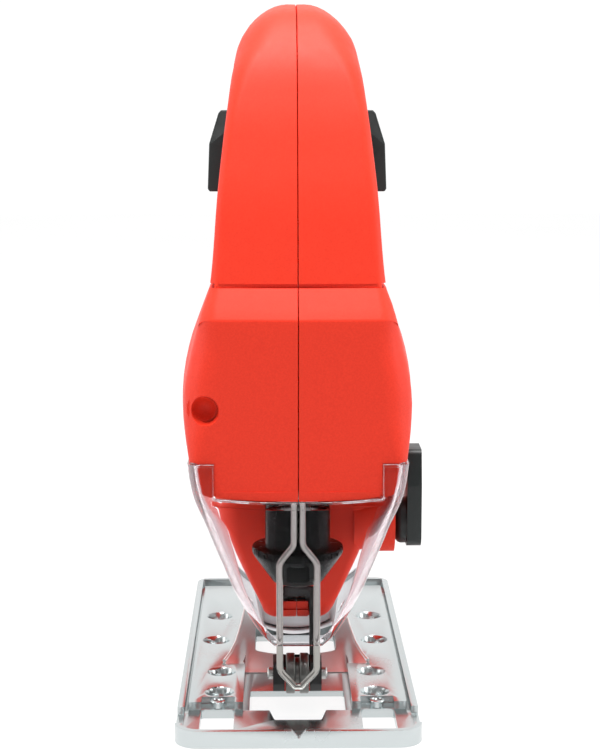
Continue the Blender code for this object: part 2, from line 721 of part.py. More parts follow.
def build_drive(m, parts, cutters):
    steel = m["steel"]
    pivot = (0.0, 0.0, GEAR_Z)
    phase = -math.pi / 2 + math.pi / GEAR_TEETH
    outline = gear_outline(0.0, GEAR_Z, GEAR_TEETH, GEAR_MODULE, phase, 0.34)
    gear = prism("drive_gear", outline, "Y", -20.5, -14.5, steel, parts, pivot)
    pin = prism("crank_pin", circle(0.0, GEAR_Z + CRANK_R, 3.0, 14), "Y", -25.6, -20.0, steel, parts)
    boolean(gear, pin, "UNION", cutters)
    bore = prism("gear_bore", circle(0.0, GEAR_Z, 3.3, 14), "Y", -30.0, -12.0, steel, parts)
    boolean(gear, bore, "DIFFERENCE", cutters)
    centre = (0.0, PLUNGER_Y)
    pivot = (0.0, PLUNGER_Y, 50.0)
    plunger = lathe("plunger", ((3.4, 42.0), (4.0, 43.0), (4.0, 146.0)), "Z", centre, steel, parts, pivot, 16)
    yoke_z = GEAR_Z + CRANK_R
    yoke = box("yoke_plate", (-15.0, 15.0), (-30.6, -26.2), (yoke_z - 7.0, yoke_z + 7.0), steel, parts)
    boolean(plunger, yoke, "UNION", cutters)
    for side in (-1.0, 1.0):
        low, high = sorted((side * 4.6, side * 11.6))
        slot = box("yoke_slot_%d" % int(side), (low, high), (-40.0, -20.0), (yoke_z - 3.4, yoke_z + 3.4),
                   steel, parts)
        boolean(plunger, slot, "DIFFERENCE", cutters)
    relief = box("yoke_relief", (-12.0, 12.0), (-27.9, -20.0), (yoke_z - 3.4, yoke_z + 3.4), steel, parts)
    boolean(plunger, relief, "DIFFERENCE", cutters)
    ring = ((4.3, 41.0), (5.9, 41.0), (5.9, 66.0), (4.3, 66.0))
    lathe("clamp_body", ring, "Z", centre, steel, parts, pivot, 18, True)
    ring = ((6.2, 41.4), (6.9, 41.4), (12.6, 49.6), (13.2, 50.4), (13.2, 51.9), (9.4, 52.3),
            (9.4, 64.4), (8.4, 64.4), (8.4, 60.3), (6.2, 60.3))
    lathe("clamp_collar", ring, "Z", centre, m["black_plastic"], parts, pivot, 24, True)
    ring = ((6.2, 60.6), (8.0, 60.6), (8.0, 63.6), (6.2, 63.6))
    lathe("clamp_cap", ring, "Z", centre, m["dark_steel"], parts, pivot, 18, True)
    ring = ((4.5, 67.4), (7.2, 67.4), (7.2, 72.6), (4.5, 72.6))
    lathe("felt_seal", ring, "Z", centre, m["felt"], parts, closed=True, segments=16)


def build_pendulum(m, parts, cutters):
    dark = m["dark_steel"]
    pivot = (0.0, FORK_PIVOT[0], FORK_PIVOT[1])
    cup = [Vector(p) for p in ((-27.6, 8.2), (-25.6, 5.2), (-21.6, 5.2), (-16.0, 8.6), (-16.0, 13.6),
                               (-21.0, 15.4), (-26.2, 14.6), (-27.6, 12.8))]
    fork = prism("pendulum_fork", cup, "X", -7.2, 7.2, dark, parts, pivot)
    gap = box("fork_gap", (-3.8, 3.8), (-40.0, -17.6), (0.0, 20.0), dark, parts)
    boolean(fork, gap, "DIFFERENCE", cutters)
    arm = [Vector(p) for p in ((-23.0, 12.0), (-17.6, 9.4), (-10.4, 26.6), (-9.6, 34.6), (-15.0, 34.6),
                               (-15.8, 29.0))]
    boolean(fork, prism("fork_arm", arm, "X", 3.8, 5.2, dark, parts), "UNION", cutters)
    head = box("fork_head", (-4.0, 5.2), (-15.0, -10.0), (31.8, 34.6), dark, parts)
    boolean(fork, head, "UNION", cutters)
    for low, high in ((-4.0, -2.7), (2.7, 5.2)):
        lug = prism("fork_lug", circle(FORK_PIVOT[0], FORK_PIVOT[1], 2.7, 14), "X", low, high, dark, parts)
        boolean(fork, lug, "UNION", cutters)
    tail = box("fork_tail", (-3.0, 3.0), (-12.4, -9.8), (34.0, 46.0), dark, parts)
    boolean(fork, tail, "UNION", cutters)
    hole = prism("fork_roller_hole", circle(ROLLER_Y, ROLLER_Z, 2.1, 12), "X", -10.0, 10.0, dark, parts)
    boolean(fork, hole, "DIFFERENCE", cutters)
    hole = prism("fork_pivot_hole", circle(FORK_PIVOT[0], FORK_PIVOT[1], 1.7, 12), "X", -10.0, 10.0, dark, parts)
    boolean(fork, hole, "DIFFERENCE", cutters)
    lathe("fork_pin", ((1.4, -6.2), (1.4, 7.4)), "X", FORK_PIVOT, m["steel"], parts, segments=12)
    pivot = (0.0, ROLLER_Y, ROLLER_Z)
    lathe("roller_pin", ((1.8, -8.9), (1.8, 8.9)), "X", (ROLLER_Y, ROLLER_Z), m["steel"], parts, pivot, 12)
    ring = ((2.1, -3.45), (5.6, -3.45), (6.0, -3.05), (6.0, -0.75), (4.7, -0.75), (4.7, 0.75),
            (6.0, 0.75), (6.0, 3.05), (5.6, 3.45), (2.1, 3.45))
    lathe("guide_roller", ring, "X", (ROLLER_Y, ROLLER_Z), m["steel"], parts, pivot, 22, True)


def build_selector(m, parts, cutters):
    pivot = (0.0, LEVER_PIVOT[0], LEVER_PIVOT[1])
    y, z = LEVER_PIVOT
    corners = ((y - 8.0, 47.0, 4.0), (y + 8.0, 47.0, 4.0), (y + 8.0, 66.0, 3.0), (y + 6.0, 76.6, 2.0),
               (y - 6.0, 76.6, 2.0), (y - 8.0, 66.0, 3.0))
    lever = prism("orbital_lever", fillet(corners, 30.0), "X", 32.9, 37.2, m["black_plastic"], parts, pivot)
    hub = prism("lever_hub", circle(y, z, 7.0, 18), "X", 29.7, 33.4, m["black_plastic"], parts)
    boolean(lever, hub, "UNION", cutters)
    shaft = prism("lever_shaft", circle(y, z, 3.5, 14), "X", 9.0, 30.0, m["black_plastic"], parts)
    boolean(lever, shaft, "UNION", cutters)


def build_controls(m, parts, cutters):
    black = m["black_plastic"]
    for name, side in (("lock_button_left", 1.0), ("lock_button_right", -1.0)):
        outline = [Vector((side * x, z)) for x, z in ((14.5, 153.5), (25.0, 153.5), (25.5, 154.3), (25.0, 167.0),
                                                       (22.4, 175.6), (21.6, 176.5), (13.0, 176.5))]
        prism(name, outline, "Y", BUTTON_Y[0], BUTTON_Y[1], black, parts, (side * 20.0, -15.0, 165.0))
    pivot = (0.0, TRIGGER_PIVOT[0], TRIGGER_PIVOT[1])
    corners = ((16.0, 168.0, 2.0), (20.0, 163.0, 4.0), (30.0, 160.4, 8.0), (42.0, 166.0, 3.0),
               (42.0, 179.5, 1.5), (15.6, 182.0, 1.5))
    prism("trigger", fillet(corners, 30.0), "X", -7.2, 7.2, black, parts, pivot)
    box("switch_module", (-9.2, 9.2), (46.0, 68.0), (178.0, 196.0), m["switch_plastic"], parts)
    coil = []
    turns = 5
    for k in range(turns * 10 + 1):
        a = 2 * math.pi * k / 10
        coil.append((2.6 * math.cos(a), 32.0 + 2.6 * math.sin(a), 182.6 + 12.0 * k / (turns * 10)))
    rod("trigger_spring", coil, 0.45, m["steel"], parts, 6)
    ring = ((3.2, 140.0), (8.4, 140.0), (8.4, 145.0), (6.0, 145.0), (6.0, 152.5), (5.2, 158.0), (3.2, 158.0))
    lathe("cord_gland", ring, "Y", (0.0, GLAND_Z), m["rubber"], parts, closed=True, segments=20)


def build_guard(m, parts):
    path = [(1.15, GUARD_Y, 76.0), (1.15, GUARD_Y, 56.4), (1.7, GUARD_Y, 55.2), (4.6, GUARD_Y, 51.0),
            (5.25, GUARD_Y, 49.6), (5.25, GUARD_Y, 19.2), (4.9, GUARD_Y, 18.2), (0.9, GUARD_Y, 14.1)]
    full = path + [(-p[0], p[1], p[2]) for p in reversed(path)]
    rod("wire_guard", full, 0.95, m["plated_steel"], parts, 10)


def build_shield(m, parts, cutters):
    heights = (27.5, 29.5, 31.0, 36.0, 42.0, 49.0, 56.0, 63.0, 69.0, 74.0, 79.2)
    shield = shield_loft("chip_shield", heights, 2.1, 0.0, None, m["clear_plastic"], parts)
    notch = box("shield_notch", (-23.6, 23.6), (-60.0, -40.0), (69.6, 90.0), m["clear_plastic"], parts)
    boolean(shield, notch, "DIFFERENCE", cutters)


def build_sole(m, parts, cutters):
    steel = m["plated_steel"]
    w = SOLE_HALF_WIDTH
    corners = ((-w, SOLE_FRONT, 7.0), (w, SOLE_FRONT, 7.0), (w, SOLE_REAR, 5.0), (-w, SOLE_REAR, 5.0))
    pivot = (0.0, 0.0, TILT_Z)
    sole = prism("sole_plate", fillet(corners, 18.0), "Z", 0.0, SOLE_RIM, steel, parts, pivot)
    inner = w - SOLE_RIM_THICK
    top = (SOLE_FLOOR, 9.0)
    front = SOLE_FRONT + SOLE_RIM_THICK
    rear = SOLE_REAR - SOLE_RIM_THICK
    corners = ((-inner, front, 5.0), (inner, front, 5.0), (inner, STRIP_FRONT, 0.0), (-inner, STRIP_FRONT, 0.0))
    cuts = [
        prism("sole_front_pocket", fillet(corners, 18.0), "Z", top[0], top[1], steel, parts),
        box("sole_centre_pocket", (-STRIP_IN, STRIP_IN), (STRIP_FRONT - 1, rear), top, steel, parts),
        box("sole_rear_pocket", (-inner, inner), (STRIP_REAR, rear), top, steel, parts),
        box("sole_slot", (-40.0, 40.0), (SLOT_FRONT, SLOT_REAR), top, steel, parts),
    ]
    blade = [Vector(p) for p in ((-14.2, -15.0), (14.2, -15.0), (14.2, -34.0), (8.4, -34.0), (6.8, -42.5),
                                 (-6.8, -42.5), (-8.4, -34.0), (-14.2, -34.0))]
    cuts.append(prism("blade_opening", blade, "Z", -2.0, 9.0, steel, parts))
    cuts.append(box("rear_opening", (-13.0, 13.0), (16.7, 40.2), (-2.0, 9.0), steel, parts))
    cuts.append(seat_loft("seat_pocket", True, steel, parts))
    notch = [Vector(p) for p in ((-2.9, 6.0), (0.0, 2.7), (2.9, 6.0))]
    cuts.append(prism("front_notch", notch, "Y", -60.0, -55.0, steel, parts))
    holes = []
    collars = []
    for side in (-1.0, 1.0):
        tag = "l" if side > 0 else "r"
        low, high = sorted((side * STRIP_OUT, side * inner))
        cuts.append(box("sole_valley_" + tag, (low, high), (STRIP_FRONT - 1, rear), top, steel, parts))
        low, high = sorted((side * (STRIP_IN + 1.6), side * (STRIP_OUT - 1.6)))
        cuts.append(box("strip_under_" + tag, (low, high), (-14.0, STRIP_REAR - 1.6), (-2.0, 3.4), steel, parts))
        low, high = sorted((side * 18.5, side * 28.3))
        cuts.append(box("square_" + tag, (low, high), (-52.0, -33.6), (-2.0, 9.0), steel, parts))
        cuts.append(box("screw_recess_" + tag, (low, high), (-34.0, -28.8), (SOLE_FLOOR, 9.0), steel, parts))
        for k, (x, y) in enumerate(STRIP_HOLES):
            hole = circle(side * x, y, STRIP_HOLE_R, 16)
            holes.append(prism("strip_hole_%s%d" % (tag, k), hole, "Z", -2.0, 9.0, steel, parts))
            if k:
                rim = circle(side * x, y, STRIP_HOLE_R + 1.6, 16)
                collars.append(prism("strip_collar_%s%d" % (tag, k), rim, "Z", 0.4, 4.0, steel, parts))
    for tool in cuts:
        boolean(sole, tool, "DIFFERENCE", cutters)
    for tool in collars:
        boolean(sole, tool, "UNION", cutters)
    for tool in holes:
        boolean(sole, tool, "DIFFERENCE", cutters)
    for name, side in (("fence_screw_left", 1.0), ("fence_screw_right", -1.0)):
        profile = ((2.2, SOLE_FLOOR + 0.2), (2.2, 4.5), (1.8, 4.9))
        lathe(name, profile, "Z", (side * 23.4, -31.2), steel, parts, pivot, 16)
    saddle = seat_loft("sole_saddle", False, steel, parts, pivot)
    hole = box("saddle_opening", (-13.0, 13.0), (16.7, 40.2), (-2.0, 20.0), steel, parts)
    boolean(saddle, hole, "DIFFERENCE", cutters)
    reach = math.asin(12.0 / TILT_R)
    outline = [Vector((12.0, 42.6)), Vector((-12.0, 42.6))]
    for k in range(11):
        a = -math.pi / 2 - reach + 2 * reach * k / 10
        outline.append(Vector((TILT_R * math.cos(a), TILT_Z + TILT_R * math.sin(a))))
    prism("shoe_bracket", outline, "Y", 42.5, 70.0, m["cast_aluminium"], parts)


def seat_loft(name, pocket, mat, coll, pivot=(0.0, 0.0, 0.0)):
    """The sole's curved seat, flared at its front, or the pocket that clears it."""
    stations = ((2.0, 22.2, 5.8), (5.5, 21.2, 6.2), (8.0, 20.4, 6.6), (16.0, 18.8, 7.6), (28.0, 17.5, 9.0),
                (42.0, 16.4, 10.6), (70.5, 16.4, 10.6))
    low = TILT_Z - SEAT_R
    rows = []
    verts = []
    for y, edge, top in stations:
        rise = top - low
        radius = (edge * edge + rise * rise) / (2.0 * rise)
        reach = math.asin(edge / radius)
        section = []
        upper = radius + (0.9 if y == stations[0][0] else 0.0)
        for k in range(17):
            a = -reach + 2 * reach * k / 16
            section.append((upper * math.sin(a), low + radius - upper * math.cos(a)))
        lower = []
        thick = SEAT_THICK + (0.35 if pocket else 0.0)
        for k in range(17):
            a = reach - 2 * reach * k / 16
            grown = radius + thick
            lower.append((grown * math.sin(a), low + radius - grown * math.cos(a)))
        if pocket:
            edge_x = lower[0][0] + 0.1
            section = [(-edge_x + 2 * edge_x * k / 16, 14.0) for k in range(17)]
        rows.append(list(range(len(verts), len(verts) + 34)))
        place_y = y
        if pocket:
            place_y = y - 0.3 if y == stations[0][0] else y + 0.3 if y == stations[-1][0] else y
        verts.extend((p[0], place_y, p[1]) for p in section + lower)
    faces = []
    for first, second in zip(rows, rows[1:]):
        for k in range(34):
            j = (k + 1) % 34
            faces.append([first[k], first[j], second[j], second[k]])
    for row, flip in ((rows[0], True), (rows[-1], False)):
        for k in range(16):
            quad = [row[k], row[k + 1], row[32 - k], row[33 - k]]
            faces.append(quad[::-1] if flip else quad)
    return mesh_object(name, verts, faces, mat, coll, pivot)


def build():
    clear_scene()
    parts = make_collection(ASSEMBLY_NAME)
    cutters = make_collection("cutters")
    m = {
        "housing_red": material("housing_red", (0.80, 0.045, 0.025), 0.0, 0.42),
        "black_plastic": material("black_plastic", (0.018, 0.020, 0.020), 0.0, 0.45),
        "clear_plastic": material("clear_plastic", (0.95, 0.97, 0.98), 0.0, 0.06, 0.9),
        "plated_steel": material("plated_steel", (0.62, 0.66, 0.68), 1.0, 0.28),
        "dark_steel": material("dark_steel", (0.06, 0.06, 0.06), 0.8, 0.45),
        "steel": material("steel", (0.50, 0.50, 0.50), 1.0, 0.35),
        "cast_aluminium": material("cast_aluminium", (0.55, 0.56, 0.57), 1.0, 0.5),
        "copper": material("copper", (0.72, 0.33, 0.14), 1.0, 0.4),
        "brass": material("brass", (0.75, 0.58, 0.25), 1.0, 0.4),
        "bronze": material("bronze", (0.55, 0.38, 0.20), 1.0, 0.45),
        "laminations": material("laminations", (0.30, 0.30, 0.31), 0.9, 0.5),
        "carbon": material("carbon", (0.03, 0.03, 0.03), 0.2, 0.7),
        "switch_plastic": material("switch_plastic", (0.05, 0.05, 0.06), 0.0, 0.5),
        "rubber": material("rubber", (0.015, 0.015, 0.015), 0.0, 0.75),
        "felt": material("felt", (0.25, 0.24, 0.22), 0.0, 0.95),
    }
    build_housing(m, parts, cutters)
    build_screws(m, parts)
    build_gear_case(m, parts, cutters)
    build_motor(m, parts, cutters)
    build_drive(m, parts, cutters)
    build_pendulum(m, parts, cutters)
    build_selector(m, parts, cutters)
    build_controls(m, parts, cutters)
    build_guard(m, parts)
    build_shield(m, parts, cutters)
    build_sole(m, parts, cutters)


build()
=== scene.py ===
import json
import math

import bmesh
import bpy
from mathutils import Matrix, Vector
from mathutils.geometry import delaunay_2d_cdt


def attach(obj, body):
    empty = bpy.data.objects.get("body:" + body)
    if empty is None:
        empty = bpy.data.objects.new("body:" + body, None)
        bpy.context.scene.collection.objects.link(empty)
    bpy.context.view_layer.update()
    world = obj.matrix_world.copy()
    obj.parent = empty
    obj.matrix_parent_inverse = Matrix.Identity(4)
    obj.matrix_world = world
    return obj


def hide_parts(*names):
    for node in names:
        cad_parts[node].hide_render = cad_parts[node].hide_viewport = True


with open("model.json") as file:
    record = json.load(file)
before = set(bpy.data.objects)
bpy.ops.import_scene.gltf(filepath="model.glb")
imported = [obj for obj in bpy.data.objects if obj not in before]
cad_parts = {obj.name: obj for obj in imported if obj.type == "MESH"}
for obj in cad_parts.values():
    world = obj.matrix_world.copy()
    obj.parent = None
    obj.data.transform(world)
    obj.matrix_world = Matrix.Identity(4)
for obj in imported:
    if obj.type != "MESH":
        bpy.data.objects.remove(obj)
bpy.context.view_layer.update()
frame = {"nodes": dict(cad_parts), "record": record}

MM = 0.001

# ------------------------------------------------------------------ dimensions, millimetres
SEAM = 0.09
WALL = 2.5
OUTLINE = (
    (-51.0, 70.0, 1.0), (-51.2, 119.5, 1.8), (-45.6, 128.2, 1.5), (-41.0, 152.0, 60.0),
    (-34.0, 174.0, 60.0), (-26.5, 192.0, 40.0), (-14.0, 204.5, 20.0), (5.0, 208.0, 60.0),
    (60.0, 207.0, 80.0), (104.0, 198.0, 30.0), (127.0, 176.0, 30.0), (134.0, 142.0, 22.0),
    (148.0, 126.0, 14.0), (150.0, 92.0, 60.0), (144.0, 57.0, 14.0), (110.0, 54.0, 60.0),
    (77.0, 54.0, 6.0), (73.0, 43.0, 6.0), (40.0, 43.0, 5.0), (36.0, 24.0, 5.5),
    (-12.0, 24.0, 5.5), (-17.5, 30.0, 6.0), (-17.5, 70.0, 2.0),
)
OPENING = (
    (-6.5, 131.5, 9.0), (0.5, 158.0, 30.0), (12.0, 172.0, 13.0), (88.0, 170.5, 24.0),
    (103.0, 160.0, 16.0), (107.0, 131.5, 10.0),
)
WIDTHS = (
    (22.0, 8.5), (24.0, 9.3), (30.0, 12.0), (36.0, 15.4), (43.0, 19.3), (50.0, 21.9),
    (60.0, 24.1), (65.0, 26.5), (70.0, 29.6),
    (75.0, 31.8), (80.0, 32.8), (90.0, 33.6), (100.0, 33.2), (110.0, 31.2), (118.0, 28.4),
    (123.0, 26.5), (128.0, 24.5), (155.0, 22.2), (176.0, 19.8), (193.0, 17.4), (201.0, 14.7),
    (205.0, 13.2), (208.5, 12.2),
)
FRONT_EDGE = (
    (40.0, 3.0), (70.0, 2.8), (80.0, 3.5), (92.0, 8.5), (112.0, 8.5), (121.0, 4.5),
    (128.0, 3.2), (190.0, 3.2), (200.0, 6.0), (208.5, 8.0),
)
BODY_EDGE = ((24.0, 3.0), (36.0, 3.5), (43.0, 4.5), (54.0, 5.5), (66.0, 9.0), (90.0, 10.0), (208.5, 10.0))
OPENING_EDGE = 7.5
SHIELD = (
    (27.5, 6.9), (31.0, 10.6), (36.0, 14.6), (42.0, 18.2), (49.0, 21.3), (56.0, 24.2),
    (63.0, 26.8), (69.0, 29.0), (74.0, 30.2), (79.2, 30.9),
)
SHIELD_BACK = ((27.0, -48.7), (31.0, -48.5), (40.0, -42.0), (50.0, -29.5), (60.0, -20.6), (80.0, -20.6))
SHIELD_CORNER = ((27.0, 0.8), (30.0, 1.0), (40.0, 7.0), (58.0, 8.0), (68.0, 3.6), (80.0, 3.6))
SHIELD_FRONT = -51.3
SHIELD_WALL = 2.1
SHIELD_TOP = 79.2
TONGUE_BOTTOM = 70.0
TONGUE_SAG = 1.2
VENTS = 6
VENT_PITCH = 5.6
COLLAR_RIBS = 28
SCREWS = ((-17.0, 186.0), (78.0, 189.0), (120.0, 152.0), (137.0, 70.0), (22.0, 51.0), (-0.5, 123.8))
PLUNGER_Y = -32.0
GUARD_Y = -46.7
ROLLER = (-24.0, 10.5)
FORK_PIVOT = (-10.4, 31.0)
LEVER_PIVOT = (-10.0, 54.0)
BUTTON_Y = (-25.0, -5.0)
BUTTON_Z = (153.5, 176.5)
BUTTON_GAP = 0.4
TILT_Z = 25.4
TILT_R = 21.7
SEAT_R = 22.1
SEAT_THICK = 1.2
SOLE_FLOOR = 1.8
STRIP_HOLES = ((23.2, -24.4), (23.1, -5.9), (25.8, 26.2), (25.5, 53.3))
GLAND_Z = 105.0
CAMERA_AT = (-6.5, -512.1, 174.6)
CAMERA_PITCH = 8.64
CAMERA_YAW = -0.86
CAMERA_LENS = 81.6

STEP = 4.0
ARC = 9.0
RINGS = 8


# ------------------------------------------------------------------ node materials
class Nodes:
    """Small helper that writes a material's node graph."""

    def __init__(self, name):
        self.mat = bpy.data.materials.new(name)
        self.mat.use_nodes = True
        self.tree = self.mat.node_tree
        self.shader = self.tree.nodes["Principled BSDF"]
        self.coord = self.tree.nodes.new("ShaderNodeTexCoord")

    def new(self, kind, **values):
        node = self.tree.nodes.new(kind)
        for key, value in values.items():
            setattr(node, key, value)
        return node

    def link(self, a, b):
        self.tree.links.new(a, b)

    def noise(self, scale, detail=4.0, rough=0.5, stretch=None):
        node = self.new("ShaderNodeTexNoise")
        node.inputs["Scale"].default_value = scale
        node.inputs["Detail"].default_value = detail
        node.inputs["Roughness"].default_value = rough
        source = self.coord.outputs["Object"]
        if stretch is not None:
            mapping = self.new("ShaderNodeMapping")
            mapping.inputs["Scale"].default_value = stretch
            self.link(source, mapping.inputs["Vector"])
            source = mapping.outputs["Vector"]
        self.link(source, node.inputs["Vector"])
        return node.outputs["Fac"]

    def spread(self, fac, low, high, start=0.3, end=0.7):
        node = self.new("ShaderNodeMapRange")
        node.inputs["From Min"].default_value = start
        node.inputs["From Max"].default_value = end
        node.inputs["To Min"].default_value = low
        node.inputs["To Max"].default_value = high
        self.link(fac, node.inputs["Value"])
        return node.outputs["Result"]

    def mix(self, fac, a, b):
        node = self.new("ShaderNodeMix", data_type="RGBA")
        node.inputs["A"].default_value = (a[0], a[1], a[2], 1.0)
        node.inputs["B"].default_value = (b[0], b[1], b[2], 1.0)
        self.link(fac, node.inputs["Factor"])
        return node.outputs["Result"]

    def bump(self, height, strength, distance, chain=None):
        node = self.new("ShaderNodeBump")
        node.inputs["Strength"].default_value = strength
        node.inputs["Distance"].default_value = distance
        self.link(height, node.inputs["Height"])
        if chain is not None:
            self.link(chain, node.inputs["Normal"])
        return node.outputs["Normal"]


def plastic(name, colour, dark, rough, bump=0.12, grain=2600.0, gloss=0.5, fleck=38.0):
    """Moulded plastic: two close tones, a fine grain and a shallow waviness."""
    n = Nodes(name)
    tone = n.spread(n.noise(fleck, 3.0), 0.0, 1.0)
    n.link(n.mix(tone, dark, colour), n.shader.inputs["Base Color"])
    n.link(n.spread(n.noise(420.0, 5.0, 0.6), rough - 0.05, rough + 0.06), n.shader.inputs["Roughness"])
    fine = n.noise(grain, 2.0, 0.5)
    wave = n.noise(90.0, 2.0, 0.4)
    normal = n.bump(wave, 0.05, 0.0006)
    n.link(n.bump(fine, bump, 0.00006, normal), n.shader.inputs["Normal"])
    n.shader.inputs["IOR"].default_value = 1.46
    n.shader.inputs["Specular IOR Level"].default_value = gloss
    return n.mat


def metal(name, colour, dark, rough, grain=240.0, stretch=None, bump=0.1, metallic=1.0):
    """Metal with a mottled tone and an uneven polish."""
    n = Nodes(name)
    tone = n.spread(n.noise(60.0, 4.0, 0.6), 0.0, 1.0)
    n.link(n.mix(tone, dark, colour), n.shader.inputs["Base Color"])
    n.shader.inputs["Metallic"].default_value = metallic
    scratch = n.noise(grain, 6.0, 0.6, stretch)
    n.link(n.spread(scratch, rough - 0.07, rough + 0.09), n.shader.inputs["Roughness"])
    n.link(n.bump(scratch, bump, 0.00008), n.shader.inputs["Normal"])
    return n.mat


def clear(name):
    """Clear moulded plastic. Walls that face sideways are painted milkier and pinker, a painted reflection of
    the red housing in walls seen edge-on.
    """
    n = Nodes(name)
    geometry = n.new("ShaderNodeNewGeometry")
    split = n.new("ShaderNodeSeparateXYZ")
    n.link(geometry.outputs["Normal"], split.inputs["Vector"])
    # painted reflection: sideways-facing walls get less transmission and a pink tint, standing in for the red
    # housing seen in them edge-on
    steep = n.new("ShaderNodeMath", operation="ABSOLUTE")
    n.link(split.outputs["X"], steep.inputs[0])
    n.link(n.spread(steep.outputs["Value"], 1.0, 0.80, 0.15, 0.8), n.shader.inputs["Transmission Weight"])
    side = n.spread(steep.outputs["Value"], 0.0, 1.0, 0.08, 0.6)
    n.link(n.mix(side, (0.985, 0.965, 0.99), (0.955, 0.87, 0.90)), n.shader.inputs["Base Color"])
    n.shader.inputs["IOR"].default_value = 1.38
    n.shader.inputs["Specular Tint"].default_value = (0.05, 0.05, 0.05, 1.0)
    n.link(n.spread(n.noise(30.0, 2.0), 0.0, 0.012), n.shader.inputs["Roughness"])
    return n.mat


MATS = {
    "housing_red": plastic(
        "housing_red", (0.765, 0.041, 0.018), (0.695, 0.033, 0.0145), 0.46, 0.16, 2600.0, 0.2, 1900.0
    ),
    "black_plastic": plastic(
        "black_plastic", (0.018, 0.023, 0.023), (0.012, 0.015, 0.015), 0.36, 0.10, 2200.0, 0.4
    ),
    "clear_plastic": clear("clear_plastic"),
    "plated_steel": metal("plated_steel", (0.60, 0.645, 0.65), (0.57, 0.61, 0.615), 0.21, 60.0, None, 0.0),
    "guard_wire": metal("guard_wire", (0.37, 0.36, 0.34), (0.32, 0.31, 0.29), 0.19, 120.0, None, 0.0),
    "gloss_black": plastic(
        "gloss_black", (0.004, 0.006, 0.005), (0.002, 0.003, 0.003), 0.24, 0.0, 900.0, 0.12
    ),
    "satin_zinc": metal("satin_zinc", (0.80, 0.81, 0.81), (0.76, 0.77, 0.77), 0.40, 60.0, None, 0.0),
    "oiled_steel": metal("oiled_steel", (0.20, 0.20, 0.19), (0.12, 0.12, 0.115), 0.34, 800.0, None, 0.04),
    "dark_steel": metal("dark_steel", (0.055, 0.055, 0.055), (0.03, 0.03, 0.03), 0.42, 700.0, None, 0.2, 0.8),
    "steel": metal("steel", (0.56, 0.56, 0.55), (0.42, 0.42, 0.41), 0.30, 600.0),
    "cast_aluminium": metal(
        "cast_aluminium", (0.60, 0.61, 0.62), (0.50, 0.51, 0.52), 0.48, 420.0, None, 0.35
    ),
    "copper": metal("copper", (0.72, 0.32, 0.14), (0.55, 0.22, 0.09), 0.38, 1400.0, (1.0, 6.0, 1.0)),
    "brass": metal("brass", (0.76, 0.58, 0.26), (0.62, 0.45, 0.19), 0.36, 600.0),
    "bronze": metal("bronze", (0.55, 0.37, 0.20), (0.42, 0.28, 0.14), 0.48, 900.0, None, 0.3),
    "laminations": metal(
        "laminations", (0.34, 0.34, 0.35), (0.18, 0.18, 0.19), 0.45, 1500.0, (1.0, 14.0, 1.0), 0.4
    ),
    "carbon": plastic("carbon", (0.04, 0.04, 0.04), (0.02, 0.02, 0.02), 0.62, 0.3, 1500.0),
    "switch_plastic": plastic("switch_plastic", (0.05, 0.05, 0.06), (0.035, 0.035, 0.04), 0.45),
    "rubber": plastic("rubber", (0.018, 0.018, 0.018), (0.011, 0.011, 0.011), 0.68, 0.3, 1500.0),
    "felt": plastic("felt", (0.30, 0.28, 0.25), (0.20, 0.19, 0.17), 0.92, 0.9, 3200.0),
}

slot_of = {row["node"]: row["material_slot"] for row in frame["record"]["subparts"]}
for node_name, node in frame["nodes"].items():
    node.data.materials.clear()
    node.data.materials.append(MATS[slot_of[node_name]])


# ------------------------------------------------------------------ outlines and tables
def lerp_table(table, value):
    if value <= table[0][0]:
        return table[0][1]
    for (a, fa), (b, fb) in zip(table, table[1:]):
        if value <= b:
            t = (value - a) / (b - a)
            return fa + (fb - fa) * t
    return table[-1][1]


def smooth_table(table, value):
    count = len(table)
    if value <= table[0][0]:
        return table[0][1]
    if value >= table[-1][0]:
        return table[-1][1]
    for i in range(count - 1):
        a, fa = table[i]
        b, fb = table[i + 1]
        if value <= b:
            break
    p, fp = table[max(i - 1, 0)]
    n, fn = table[min(i + 2, count - 1)]
    slope_a = (fb - fp) / max(b - p, 1e-6)
    slope_b = (fn - fa) / max(n - a, 1e-6)
    span = b - a
    t = (value - a) / span
    h00 = 2 * t ** 3 - 3 * t ** 2 + 1
    h10 = t ** 3 - 2 * t ** 2 + t
    h01 = -2 * t ** 3 + 3 * t ** 2
    h11 = t ** 3 - t ** 2
    return h00 * fa + h10 * span * slope_a + h01 * fb + h11 * span * slope_b


def fillet(corners, step=ARC):
    points = []
    count = len(corners)
    for i in range(count):
        prev = Vector(corners[i - 1][:2])
        here = Vector(corners[i][:2])
        after = Vector(corners[(i + 1) % count][:2])
        radius = corners[i][2]
        u = (prev - here).normalized()
        v = (after - here).normalized()
        angle = u.angle(v)
        if radius <= 0.0 or angle > math.pi - 0.02:
            points.append(here.copy())
            continue
        reach = radius / math.tan(angle / 2.0)
        limit = 0.49 * min((prev - here).length, (after - here).length)
        if reach > limit:
            reach = limit
            radius = reach * math.tan(angle / 2.0)
        centre = here + (u + v).normalized() * (radius / math.sin(angle / 2.0))
        start = here + u * reach
        end = here + v * reach
        a0 = math.atan2(start.y - centre.y, start.x - centre.x)
        a1 = math.atan2(end.y - centre.y, end.x - centre.x)
        turn = (a1 - a0 + math.pi) % (2 * math.pi) - math.pi
        parts = max(1, int(math.ceil(abs(math.degrees(turn)) / step)))
        for k in range(parts + 1):
            a = a0 + turn * k / parts
            points.append(centre + Vector((math.cos(a), math.sin(a))) * radius)
    clean = []
    for p in points:
        if not clean or (p - clean[-1]).length > 1e-4:
            clean.append(p)
    if (clean[0] - clean[-1]).length < 1e-4:
        clean.pop()
    return clean


def resample(points, step):
    out = []
    for i, a in enumerate(points):
        b = points[(i + 1) % len(points)]
        parts = max(1, int(math.ceil((b - a).length / step)))
        for k in range(parts):
            out.append(a.lerp(b, k / parts))
    return out


def signed_area(points):
    total = 0.0
    for i, a in enumerate(points):
        b = points[(i + 1) % len(points)]
        total += a.x * b.y - b.x * a.y
    return total / 2.0


